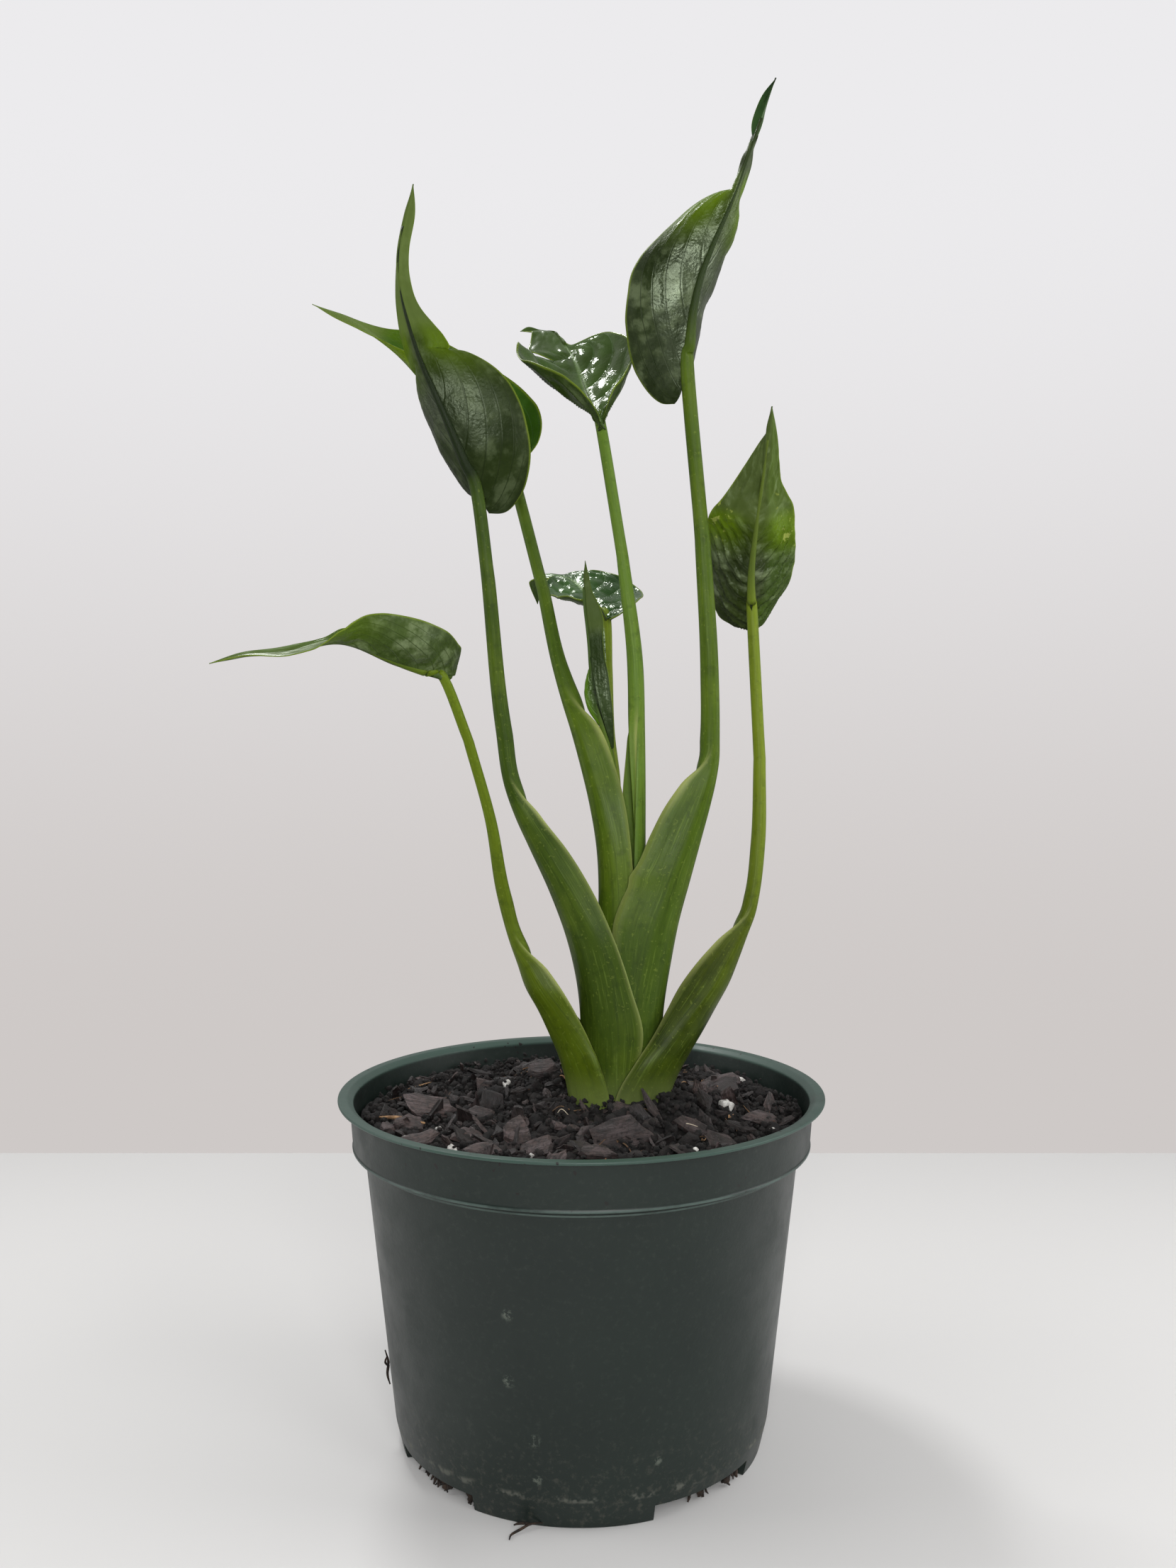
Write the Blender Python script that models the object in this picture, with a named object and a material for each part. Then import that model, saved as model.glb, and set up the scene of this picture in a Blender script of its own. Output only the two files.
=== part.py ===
"""Potted tiny dancer alocasia: a small aroid in a thin plastic nursery pot.

Eight cupped leaves stand on long stalks that wrap round each other at the foot.
The frame is +Z up, with the origin on the surface under the middle of the pot.
Sizes are in millimetres, and MM turns them into Blender's metres.
"""
import math
import random

import bmesh
import bpy
import numpy as np
from mathutils import Matrix, Vector, noise

MM = 0.001
GAP = 0.45        # clearance between the mix and the pot

# Pot: a 165 mm nursery pot, its wall turned from one profile.
RIM_RADIUS = 82.5
POT_HEIGHT = 117.1
LIP_THICKNESS = 1.1
LIP_WIDTH = 3.1
BAND_TOP_RADIUS = 78.6
BAND_FOOT_RADIUS = 77.5
BAND_FOOT_Z = 101.0
WALL_TOP_RADIUS = 73.5
WALL_TOP_Z = 98.2
FOOT_EDGE_RADIUS = 63.7
FOOT_EDGE_Z = 9.5
FOOT_RADIUS = 61.4
FOOT_WIDTH = 2.2
POT_WALL = 1.3
FLOOR_TOP_Z = 7.5
FLOOR_THICKNESS = 1.5
DISH_OUTER_RADIUS = 26.0
DISH_INNER_RADIUS = 20.0
POT_SIDES = 48

# Drainage: four notches through the foot ring and a slot in the floor behind each.
NOTCH_COUNT = 4
NOTCH_FIRST_ANGLE = 39.5
NOTCH_WIDTH_ANGLE = 37.0
NOTCH_HEIGHT = 5.3
SLOT_WIDTH_ANGLE = 22.0
SLOT_INNER_RADIUS = 43.0
SLOT_OUTER_RADIUS = 51.0

# Potting mix: mounded to the stem, with bark, twigs and perlite on top.
SOIL_EDGE_Z = 108.3
SOIL_MOUND_Z = 114.0
SOIL_ROUGHNESS = 1.3
SOIL_RINGS = 7
SOIL_MOUND_RADIUS = 62.0
STEM_X = 12.9
STEM_Y = 5.0
HOLE_RADIUS = 19.8
HOLE_FLOOR_Z = 70.0
CHIP_COUNT = 26
PERLITE_COUNT = 6
SCATTER_SEED = 11

# Corm: the short underground stem that carries every stalk.
CORM_FOOT_Z = HOLE_FLOOR_Z + 0.35
CORM_TOP_Z = 99.6
CORM_RADIUS = 18.9
CORM_SIDES = 24

# Sheath: the open foot of a stalk, which wraps the younger stalks inside it.
SHEATH_SKIN = 1.3
SHEATH_BACK = 2.6
SHEATH_CLOSING = 14.0
SHEATH_SLIMMING = 70.0
LONGEST_SPAN = 22.0

# Leaf blade. The midrib stands below the blade by a share of the blade's width.
BLADE_THICKNESS = 0.7
MIDRIB_SHARE = 0.025
BLADE_ROWS = 15
BLADE_COLUMNS = 8

LEAF_GREEN = (0.035, 0.075, 0.03, 1.0)
YOUNG_GREEN = (0.10, 0.22, 0.05, 1.0)
STALK_GREEN = (0.16, 0.26, 0.07, 1.0)
SOIL_BROWN = (0.020, 0.014, 0.012, 1.0)
POT_GREEN = (0.045, 0.060, 0.054, 1.0)
CORM_BROWN = (0.09, 0.055, 0.03, 1.0)

# Stalks. Each row is measured across the stalk at one height: height, the rounded
# back of the stalk, the edge it opens to, its depth from the viewer, half its depth.
# Above sheath_top the stalk is round; below it the open sheath widens to the foot.
STALKS = {
    "petiole_a": dict(sheath_top=166, wing=0.62, rows=(
        (100, -4.2, 9.6, 5, 15.0), (116, -5.2, 9.2, 5, 15.4), (128, -8.4, 5.6, 4.4, 14.6),
        (136, -11.7, 2.2, 3.4, 12.2), (144, -15.2, -1.9, 1.4, 9.5), (152, -19.3, -6.5, -1, 7.5),
        (160, -21.9, -12.3, -2, 5.0), (168, -24.5, -18.6, -4, 3.0), (184, -28.6, -23.8, -6, 2.4),
        (210, -32.3, -28.6, -11, 1.9), (236, -39.0, -35.6, -15, 1.7), (255.9, -44.8, -42.8, -18, 1.0))),
    "petiole_f": dict(sheath_top=174, wing=0.6, rows=(
        (100, 30.0, 12.2, 5, 15.0), (116, 31.6, 11.6, 5, 15.6), (128, 37.4, 18.4, 5, 15.2),
        (136, 42.3, 24.1, 6, 13.2), (144, 46.9, 28.9, 7, 11.0), (152, 51.5, 33.7, 8, 8.5),
        (160, 54.9, 40.2, 9, 6.2), (168, 58.0, 48.0, 10, 4.2), (176, 61.1, 55.4, 11, 2.9),
        (200, 64.6, 59.6, 13, 2.5), (230, 65.1, 60.9, 16, 2.1), (277.1, 61.9, 59.7, 19.5, 1.1))),
    "petiole_b": dict(sheath_top=219, wing=0.35, rows=(
        (100, -0.9, 16.2, 5, 12.8), (120, -0.6, 18.0, 5, 13.0), (129, -0.5, 20.0, 5, 12.9),
        (136, -0.4, 20.9, 5, 12.8), (152, -1.7, 16.9, 5, 12.3), (168, -5.3, 11.5, 4.2, 11.4),
        (184, -11.0, 4.4, 2.4, 8.4),
        (200, -18.1, -5.3, 0, 5.8), (210, -22.5, -13.1, -2, 4.4), (220, -26.0, -19.6, -3, 3.2),
        (240, -29.1, -23.6, -4, 2.7), (290, -33.5, -29.0, -8, 2.2), (315.6, -34.9, -32.5, -10.2, 1.2))),
    "petiole_e": dict(sheath_top=229, wing=0.4, rows=(
        (100, 27.0, 10.6, 5, 10.9), (120, 27.4, 10.6, 5, 11.1), (144, 28.6, 10.4, 5, 10.6),
        (160, 31.1, 10.4, 5, 9.9), (176, 34.3, 11.5, 5, 9.0), (192, 38.7, 17.0, 4.6, 7.6),
        (204, 41.8, 23.4, 4, 6.0), (214, 44.4, 28.6, 3.4, 4.8), (222, 46.2, 34.2, 3, 4.0),
        (230, 47.4, 40.4, 3, 3.3), (260, 47.0, 40.8, 2, 2.9), (305, 43.9, 38.7, 1, 2.4),
        (356.5, 37.2, 35.0, 0, 1.1))),
    "petiole_c": dict(sheath_top=249, wing=0.35, rows=(
        (100, 2.4, 19.0, 5, 8.8), (128, 3.2, 19.3, 5, 8.8), (160, 5.0, 19.2, 5, 7.9),
        (172, 5.4, 18.8, 5, 7.4), (184, 5.8, 18.0, 5, 6.8), (200, 5.0, 16.9, 5, 6.0),
        (215, 2.5, 14.8, 6, 5.2), (228, -0.6, 11.4, 8, 4.4), (240, -3.9, 6.8, 10, 3.8),
        (250, -7.0, 0.6, 12, 3.1), (262, -10.3, -4.6, 14, 2.6), (290, -16.0, -11.6, 20, 2.1),
        (336.3, -27.1, -24.7, 26, 1.1))),
    "petiole_d": dict(sheath_top=240, wing=0.35, rows=(
        (100, 23.4, 9.0, 5, 6.8), (130, 23.6, 9.6, 5, 6.6), (170, 22.8, 11.4, 5, 5.1),
        (200, 22.2, 13.4, 5.4, 3.9), (220, 22.2, 14.4, 6, 3.4), (240, 22.0, 16.0, 7, 2.8),
        (262, 21.4, 15.9, 7.4, 2.7), (300, 16.3, 12.2, 8, 2.0), (342.6, 8.4, 6.2, 9.4, 1.1))),
    "petiole_g": dict(sheath_top=0, wing=1.0, rows=(
        (100, 10.2, 13.8, 7.9, 1.8), (160, 9.8, 13.4, 7.9, 1.8), (185, 9.9, 13.3, 7.5, 1.6),
        (200, 9.8, 13.4, 7.5, 1.6), (210, 9.7, 13.4, 9.0, 1.8), (220, 9.6, 13.6, 12, 2.0),
        (240, 7.6, 11.5, 15, 1.9), (260, 7.2, 10.9, 19, 1.8), (279.1, 8.6, 10.8, 25.1, 1.1))),
    "petiole_h": dict(sheath_top=0, wing=1.0, rows=(
        (100, 8.8, 13.2, 3.4, 1.9), (160, 9.5, 13.1, 3.5, 1.7), (185, 9.4, 12.8, 3.6, 1.6),
        (200, 9.2, 12.5, 3.8, 1.6), (215, 8.8, 12.2, 4.9, 1.6), (228, 8.9, 11.8, 7.2, 1.5),
        (232.8, 9.5, 11.5, 7.8, 1.0))),
}

# Blades. The midrib runs through five points: the stalk, mid cup, the waist, mid tip
# and the end of the drip tip. up_base and up_tip are the ways that the upper side
# faces at the two ends. left and right are half widths along the blade's skin, fold is
# how far each half is raised beside the midrib at the stalk, the waist and the tip,
# curl is how much further it turns up at the edge, and waist and lance are shares of
# the half width at the notch and at the root of the drip tip.
BLADES = {
    "blade_a": dict(midrib=((-43.9, -18, 257.4), (-58.1, -34, 261.5), (-74.1, -46, 267.0),
                            (-90.1, -50, 262.6), (-111.7, -54, 259.2)),
                    up_base=(-0.1, 0.35, 1), up_tip=(0.0, -0.9, 0.4), left=18, right=15,
                    fold=(34, 34, 10), curl=30, waist=0.36, lance=0.34),
    "blade_b": dict(midrib=((-33.4, -8.2, 317.0), (-43.2, -14, 340.4), (-54.2, -18, 366.5),
                            (-58.8, -19, 387.8), (-54.8, -16, 417.5)),
                    up_base=(0.28, 0.85, 0.35), up_tip=(0.45, 0.85, 0.1), left=24, right=25,
                    fold=(22, 28, 30), curl=34, waist=0.42, lance=0.46),
    "blade_c": dict(midrib=((-24.4, 25.7, 337.8), (-46.1, 26, 355.0), (-68.3, 25, 378.0),
                            (-79.6, 22, 386.4), (-94.9, 18, 390.5)),
                    up_base=(0.8, -0.2, 0.6), up_tip=(0.5, -0.3, 0.8), left=21, right=25,
                    fold=(42, 40, 30), curl=34, waist=0.34, lance=0.36),
    "blade_d": dict(midrib=((6.9, 8, 344.6), (2.3, 27, 360.0), (-3.0, 48, 382.5),
                            (-11.3, 60, 393.9), (-24.1, 66, 396.1)),
                    up_base=(-0.2, -0.75, 0.7), up_tip=(-0.3, -0.75, 0.7), left=23, right=23,
                    fold=(38, 2, 10), curl=24, waist=0.40, lance=0.50),
    "blade_e": dict(midrib=((34.6, 1.2, 357.8), (37.9, -5, 386.5), (50.8, -10, 417.8),
                            (56.5, -11, 433.5), (64.4, -11, 454.5)),
                    up_base=(-0.75, 0.6, 0.3), up_tip=(0.0, 1, 0.1), left=25, right=23,
                    fold=(28, 36, 50), curl=36, waist=0.22, lance=0.24),
    "blade_f": dict(midrib=((60.9, 21.6, 278.4), (59.4, 14, 293.0), (59.9, 5, 309.0),
                            (61.3, -4, 328.0), (63.0, -12, 346.7)),
                    up_base=(0.0, 0.85, 0.5), up_tip=(0.1, 1, 0.3), left=22, right=21,
                    fold=(24, 28, 25), curl=34, waist=0.90, lance=0.84, broad_tip=1.0),
    "blade_g": dict(midrib=((9.4, 24, 280.8), (2.3, 38, 290.3), (-6.8, 52, 298.9),
                            (-15.4, 58, 300.3), (-17.5, 62, 289.8)),
                    up_base=(0.05, -0.45, 1), up_tip=(-0.7, -0.4, 0.6), left=17, right=17,
                    fold=(12, 0, 20), curl=8, waist=0.40, lance=0.40),
    "blade_h": dict(midrib=((10.6, 7.8, 233.6), (4.6, 7, 256.0), (3.0, 7, 272.0),
                            (1.6, 8, 284.0), (1.3, 9, 298.9)),
                    up_base=(1, 0, 0), up_tip=(1, 0, 0), left=7, right=7,
                    fold=(78, 78, 75), curl=5, waist=0.80, lance=0.74),
}

# Outline of one blade half: the cup in shares of the half width, the shoulder in shares
# of what the cup is wider than the waist, and the drip tip in shares of its own root.
# The first number is the place: along the cup, or from the waist to the end.
OUTLINE_CUP = ((0.0, 0.30), (0.06, 0.60), (0.16, 0.84), (0.30, 0.97), (0.46, 1.0))
OUTLINE_SHOULDER = ((0.64, 0.90), (0.80, 0.65), (0.92, 0.30))
OUTLINE_TIP = ((0.12, 0.70), (0.26, 0.40), (0.50, 0.27), (0.80, 0.15))


def clear_scene():
    for item in list(bpy.data.objects):
        bpy.data.objects.remove(item, do_unlink=True)


def material(name, colour, roughness, metallic=0.0):
    made = bpy.data.materials.new(name)
    made.use_nodes = True
    shader = made.node_tree.nodes["Principled BSDF"]
    shader.inputs["Base Color"].default_value = colour
    shader.inputs["Roughness"].default_value = roughness
    shader.inputs["Metallic"].default_value = metallic
    return made


def finish(bm, name, paint, sharp_degrees=40):
    """Turn a bmesh in millimetres into a named object in metres."""
    bmesh.ops.recalc_face_normals(bm, faces=bm.faces)
    bmesh.ops.scale(bm, vec=(MM, MM, MM), verts=bm.verts)
    mesh = bpy.data.meshes.new(name)
    bm.to_mesh(mesh)
    bm.free()
    mesh.materials.append(paint)
    mesh.shade_smooth()
    mesh.set_sharp_from_angle(angle=math.radians(sharp_degrees))
    made = bpy.data.objects.new(name, mesh)
    bpy.context.scene.collection.objects.link(made)
    return made


def flow(knots, values, at):
    """Smooth curve through values given at the knots, read at one place."""
    knots = np.asarray(knots, float)
    values = np.asarray(values, float)
    slopes = np.gradient(values, knots, axis=0)
    i = int(np.clip(np.searchsorted(knots, at) - 1, 0, len(knots) - 2))
    step = knots[i + 1] - knots[i]
    t = (at - knots[i]) / step
    start = (1 + 2 * t) * (1 - t) ** 2 * values[i] + t * (1 - t) ** 2 * step * slopes[i]
    end = t * t * (3 - 2 * t) * values[i + 1] + t * t * (t - 1) * step * slopes[i + 1]
    return start + end


def unit(vector):
    return vector / np.linalg.norm(vector)


def smooth_step(t):
    t = min(max(t, 0.0), 1.0)
    return t * t * (3 - 2 * t)


class Blade:
    """The form of one leaf blade: a folded, curled cup that ends in a drip tip."""

    def __init__(self, midrib, up_base, up_tip, left, right, fold, curl, waist, lance,
                 broad_tip=0.0):
        self.points = np.array(midrib, float)
        steps = np.linalg.norm(np.diff(self.points, axis=0), axis=1)
        self.along = np.concatenate([[0.0], np.cumsum(steps)]) / steps.sum()
        self.waist = self.along[2]
        self.up_base = np.array(up_base, float)
        self.up_tip = np.array(up_tip, float)
        self.half_width = {-1: left, 1: right}
        self.fold = fold
        self.curl = math.radians(curl)
        self.ridge = MIDRIB_SHARE * (left + right)
        tip = 1 - self.waist
        outline = [(at * self.waist, share) for at, share in OUTLINE_CUP]
        outline += [(at * self.waist, waist + (1 - waist) * share) for at, share in OUTLINE_SHOULDER]
        outline += [(self.waist, waist), (self.waist + 0.05 * tip, lance)]
        for at, share in OUTLINE_TIP:
            full = (1 - at) ** 1.25
            outline.append((self.waist + at * tip, lance * (share + (full - share) * broad_tip)))
        self.outline = np.array(outline + [(1.0, 0.015)])

    def spine(self, u):
        return flow(self.along, self.points, u)

    def frame(self, u):
        """Directions along the midrib, out of the upper side, and to the right."""
        low = max(u - 0.01, 0.0)
        high = min(u + 0.01, 1.0)
        tangent = unit(self.spine(high) - self.spine(low))
        up = self.up_base * (1 - u) + self.up_tip * u
        normal = unit(up - tangent * np.dot(up, tangent))
        return tangent, normal, np.cross(tangent, normal)

    def width(self, u, side):
        share = max(flow(self.outline[:, 0], self.outline[:, 1], u), 0.015)
        return share * self.half_width[side]

    def sweep(self, u):
        """Angle that the veins lean: back in the base lobes, forward past them."""
        back = 84 * (1 - smooth_step(u / self.waist / 0.62))
        forward = 34 * smooth_step((u / self.waist - 0.5) / 0.5)
        return math.radians(back - forward)

    def point(self, u, s):
        """Point on the upper skin; s runs from -1 at the left edge to 1 at the right."""
        tangent, normal, right = self.frame(u)
        side = 1 if s >= 0 else -1
        width = self.width(u, side)
        lean = self.sweep(u)
        out = side * math.cos(lean) * right - math.sin(lean) * tangent
        start = math.radians(flow((0.0, self.waist, 1.0), self.fold, u))
        bend = self.curl * (1 - smooth_step((u / self.waist - 0.8) / 0.4)) + 1e-4
        reach = abs(s)
        across = (math.sin(start + bend * reach) - math.sin(start)) / bend
        rise = (math.cos(start) - math.cos(start + bend * reach)) / bend
        return self.spine(u) + width * (across * out + rise * normal)

    def skin_normal(self, u, s):
        du, ds = 0.004, 0.02
        low, high = max(u - du, 0.0), min(u + du, 1.0)
        left, right = max(s - ds, -1.0), min(s + ds, 1.0)
        along = self.point(high, s) - self.point(low, s)
        across = self.point(u, right) - self.point(u, left)
        return unit(np.cross(across, along))

    @staticmethod
    def row_place(row):
        """Rows of the grid lie closer together in the base lobes."""
        return 0.55 * row + 0.45 * row * row

    def thickness(self, u, s):
        ridge = self.ridge * (1 - 0.75 * u) * math.exp(-((s * 9) ** 2))
        return BLADE_THICKNESS + ridge


def blade_solid(name, form, paint):
    """A grid laid on the form, cut into triangles and thickened on its under side."""
    bm = bmesh.new()
    bmesh.ops.create_grid(bm, x_segments=BLADE_COLUMNS, y_segments=BLADE_ROWS, size=1.0)
    bmesh.ops.triangulate(bm, faces=bm.faces, quad_method="ALTERNATE")
    under = bmesh.ops.extrude_face_region(bm, geom=bm.faces[:])["geom"]
    lower = [item for item in under if isinstance(item, bmesh.types.BMVert)]
    upper = [vert for vert in bm.verts if vert not in set(lower)]
    for vert in lower:
        u, s = form.row_place((vert.co.y + 1) / 2), vert.co.x
        vert.co = form.point(u, s) - form.skin_normal(u, s) * form.thickness(u, s)
    for vert in upper:
        u, s = form.row_place((vert.co.y + 1) / 2), vert.co.x
        vert.co = form.point(u, s)
    return finish(bm, name, paint, 60)


def stalk_section(row, sheath, core):
    """Closed outline of one stalk at one height, from its front edge round the back.

    sheath is 1 where the stalk is an open sheath and 0 where it is round, and core is
    how thick the stalk's back is.
    """
    height, back, edge, depth, half, wing = row
    opening = 1 if edge > back else -1
    length = abs(edge - back)
    bend = min(half, length)
    skin = min(SHEATH_SKIN, half / 2)
    outer, inner, ring = [], [], []
    turns = (-90, -60, -30, 0, 30, 60, 90)
    for turn in turns:
        angle = math.radians(turn)
        outer.append((bend * (1 - math.cos(angle)), half * math.sin(angle)))
        hollow = max(bend - core, 0.2)
        inner.append((core + hollow * (1 - math.cos(angle)), (half - skin) * math.sin(angle)))
    front = max(length, bend + 0.2)
    rear = max(length * wing, bend + 0.2)
    outer = [(front, -half + skin * 0.35)] + outer + [(rear, half - skin * 0.35)]
    inner = [(front, -half + skin)] + inner + [(rear, half - skin)]
    loop = outer + inner[::-1]
    count = len(outer)
    radius = length / 2
    for i in range(count):
        angle = math.pi * (i / (count - 1) - 0.5)
        ring.append((radius - radius * math.cos(angle), half * math.sin(angle)))
    for i in range(count):
        angle = math.pi * (0.5 - i / (count - 1))
        squeeze = 0.985 if i in (0, count - 1) else 1.0
        ring.append((radius + radius * math.cos(angle) + 0.12, half * math.sin(angle) * squeeze))
    points = []
    for (open_x, open_y), (round_x, round_y) in zip(loop, ring):
        x = round_x + (open_x - round_x) * sheath
        y = round_y + (open_y - round_y) * sheath
        points.append(Vector((back + opening * x, depth + y, height)))
    return points


def stalk_heights(rows):
    """Heights of the sections: each row, and one midway where rows are far apart."""
    heights = [rows[0][0]]
    for low, high in zip(rows[:-1], rows[1:]):
        if high[0] - low[0] > LONGEST_SPAN:
            heights.append((low[0] + high[0]) / 2)
        heights.append(high[0])
    return heights


def stalk_solid(name, spec, paint):
    """Skin the sections of one stalk, and close its foot and its top."""
    rows = np.array(spec["rows"], float)
    top = spec["sheath_top"]
    round_from = max(top + SHEATH_CLOSING / 2, rows[0, 0])
    full_width = abs(flow(rows[:, 0], rows[:, 1] - rows[:, 2], round_from))
    bm = bmesh.new()
    rings = []
    for height in stalk_heights(spec["rows"]):
        back, edge, depth, half = flow(rows[:, 0], rows[:, 1:], height)
        sheath = smooth_step((top - height) / SHEATH_CLOSING + 0.45)
        slimming = smooth_step((top - height) / SHEATH_SLIMMING)
        core = full_width * (1 - slimming) + SHEATH_BACK * slimming
        row = (height, back, edge, depth, half, spec["wing"])
        rings.append([bm.verts.new(point) for point in stalk_section(row, sheath, core)])
    bm.faces.new(rings[0])
    bm.faces.new(rings[-1])
    for low, high in zip(rings[:-1], rings[1:]):
        for i in range(len(low)):
            j = (i + 1) % len(low)
            bm.faces.new((low[i], low[j], high[j], high[i]))
    return finish(bm, name, paint, 50)


def spin_profile(bm, profile, angle, steps, start=0.0):
    """Spin a run of (radius, height) points round Z and return the new geometry."""
    turn = Matrix.Rotation(start, 3, "Z")
    verts = [bm.verts.new(turn @ Vector((radius, 0, height))) for radius, height in profile]
    edges = [bm.edges.new(pair) for pair in zip(verts[:-1], verts[1:])]
    return bmesh.ops.spin(bm, geom=verts + edges, cent=(0, 0, 0), axis=(0, 0, 1),
                          angle=angle, steps=steps)


def turned(name, profile, paint, sides, sharp_degrees=40):
    bm = bmesh.new()
    spin_profile(bm, profile, 2 * math.pi, sides)
    bmesh.ops.remove_doubles(bm, verts=bm.verts, dist=0.001)
    return finish(bm, name, paint, sharp_degrees)


def arc_block(name, inner, outer, low, high, middle_degrees, width_degrees):
    """A block bent round the pot's axis, used to cut the drainage."""
    bm = bmesh.new()
    start = math.radians(middle_degrees - width_degrees / 2 - 90)
    turn = Matrix.Rotation(start, 3, "Z")
    corners = ((inner, low), (outer, low), (outer, high), (inner, high))
    face = bm.faces.new([bm.verts.new(turn @ Vector((r, 0, z))) for r, z in corners])
    bmesh.ops.spin(bm, geom=[face], cent=(0, 0, 0), axis=(0, 0, 1),
                   angle=math.radians(width_degrees), steps=6)
    bmesh.ops.remove_doubles(bm, verts=bm.verts, dist=0.001)
    return finish(bm, name, bpy.data.materials["cutter"])


def combine(target, others, operation, solver="EXACT"):
    """Join or cut a target by every object of a list, then drop the list."""
    group = bpy.data.collections.new(target.name + "_group")
    bpy.context.scene.collection.children.link(group)
    for other in others:
        for holder in list(other.users_collection):
            holder.objects.unlink(other)
        group.objects.link(other)
    cut = target.modifiers.new("combine", "BOOLEAN")
    cut.operation = operation
    cut.operand_type = "COLLECTION"
    cut.collection = group
    cut.solver = solver
    bpy.context.view_layer.update()
    graph = bpy.context.evaluated_depsgraph_get()
    result = bpy.data.meshes.new_from_object(target.evaluated_get(graph))
    target.modifiers.remove(cut)
    target.data = result
    for other in others:
        bpy.data.objects.remove(other, do_unlink=True)
    bpy.data.collections.remove(group)


def pot():
    paint = material("pot", POT_GREEN, 0.45)
    floor_low = FLOOR_TOP_Z - FLOOR_THICKNESS
    outside = (
        (0, 0), (DISH_INNER_RADIUS, 0), (DISH_OUTER_RADIUS, floor_low),
        (FOOT_RADIUS - FOOT_WIDTH, floor_low), (FOOT_RADIUS - FOOT_WIDTH, 0), (FOOT_RADIUS, 0),
        (FOOT_EDGE_RADIUS, FOOT_EDGE_Z), (WALL_TOP_RADIUS, WALL_TOP_Z),
        (BAND_FOOT_RADIUS - 0.4, BAND_FOOT_Z - 0.4), (BAND_FOOT_RADIUS, BAND_FOOT_Z + 0.3),
        (BAND_TOP_RADIUS, POT_HEIGHT - LIP_THICKNESS), (RIM_RADIUS, POT_HEIGHT - LIP_THICKNESS + 0.1),
        (RIM_RADIUS, POT_HEIGHT - 0.2), (RIM_RADIUS - 0.3, POT_HEIGHT),
    )
    inside = (
        (RIM_RADIUS - LIP_WIDTH, POT_HEIGHT), (BAND_TOP_RADIUS - POT_WALL, POT_HEIGHT - 1.4),
        (BAND_FOOT_RADIUS - POT_WALL, BAND_FOOT_Z + 0.8),
        (WALL_TOP_RADIUS - POT_WALL, WALL_TOP_Z + 0.6),
        (FOOT_EDGE_RADIUS - POT_WALL - 0.1, FLOOR_TOP_Z),
        (DISH_OUTER_RADIUS - 0.6, FLOOR_TOP_Z), (DISH_INNER_RADIUS - 0.6, FLOOR_THICKNESS),
        (0, FLOOR_THICKNESS),
    )
    body = turned("pot", outside + inside, paint, POT_SIDES, 25)
    cutters = []
    for i in range(NOTCH_COUNT):
        middle = NOTCH_FIRST_ANGLE + 360 / NOTCH_COUNT * i
        cutters.append(arc_block("notch", FOOT_RADIUS - 6, FOOT_RADIUS + 6, -1, NOTCH_HEIGHT,
                                 middle, NOTCH_WIDTH_ANGLE))
        cutters.append(arc_block("slot", SLOT_INNER_RADIUS, SLOT_OUTER_RADIUS, floor_low - 1,
                                 FLOOR_TOP_Z + 1, middle, SLOT_WIDTH_ANGLE))
    combine(body, cutters, "DIFFERENCE")
    return body


def soil_height(x, y):
    """Top of the mix: low at the wall, mounded to the stem, and lumpy."""
    from_stem = math.hypot(x - STEM_X, y - STEM_Y)
    share = smooth_step(1 - from_stem / SOIL_MOUND_RADIUS)
    lumps = noise.noise(Vector((x, y, 3.0)) * 0.075) + 0.5 * noise.noise(Vector((x, y, 9.0)) * 0.2)
    return SOIL_EDGE_Z + (SOIL_MOUND_Z - SOIL_EDGE_Z) * share + SOIL_ROUGHNESS * lumps


def bark_chip(name, place, size, turn, rng, paint):
    """A flat broken chip: a five or six sided outline, thickened and tilted."""
    bm = bmesh.new()
    length, width, thick = size
    sides = rng.choice((5, 6))
    rim = []
    for i in range(sides):
        angle = 2 * math.pi * (i + rng.uniform(-0.25, 0.25)) / sides
        reach = rng.uniform(0.8, 1.0)
        rim.append(bm.verts.new((length / 2 * reach * math.cos(angle),
                                 width / 2 * reach * math.sin(angle), 0)))
    face = bm.faces.new(rim)
    lifted = bmesh.ops.extrude_face_region(bm, geom=[face])["geom"]
    top = [item for item in lifted if isinstance(item, bmesh.types.BMVert)]
    bmesh.ops.translate(bm, verts=top, vec=(0, 0, thick))
    bmesh.ops.triangulate(bm, faces=bm.faces)
    tilt, roll, heading = turn
    pose = Matrix.Rotation(heading, 3, "Z") @ Matrix.Rotation(tilt, 3, "Y") @ Matrix.Rotation(roll, 3, "X")
    bmesh.ops.rotate(bm, verts=bm.verts, cent=(0, 0, 0), matrix=pose)
    bmesh.ops.translate(bm, verts=bm.verts, vec=place)
    return finish(bm, name, paint, 20)


def scatter_place(rng, nearest, farthest):
    """A place on the mix between the stem and the wall."""
    while True:
        x = rng.uniform(-farthest, farthest)
        y = rng.uniform(-farthest, farthest)
        from_stem = math.hypot(x - STEM_X, y - STEM_Y)
        if math.hypot(x, y) < farthest and from_stem > nearest:
            return x, y


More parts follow.
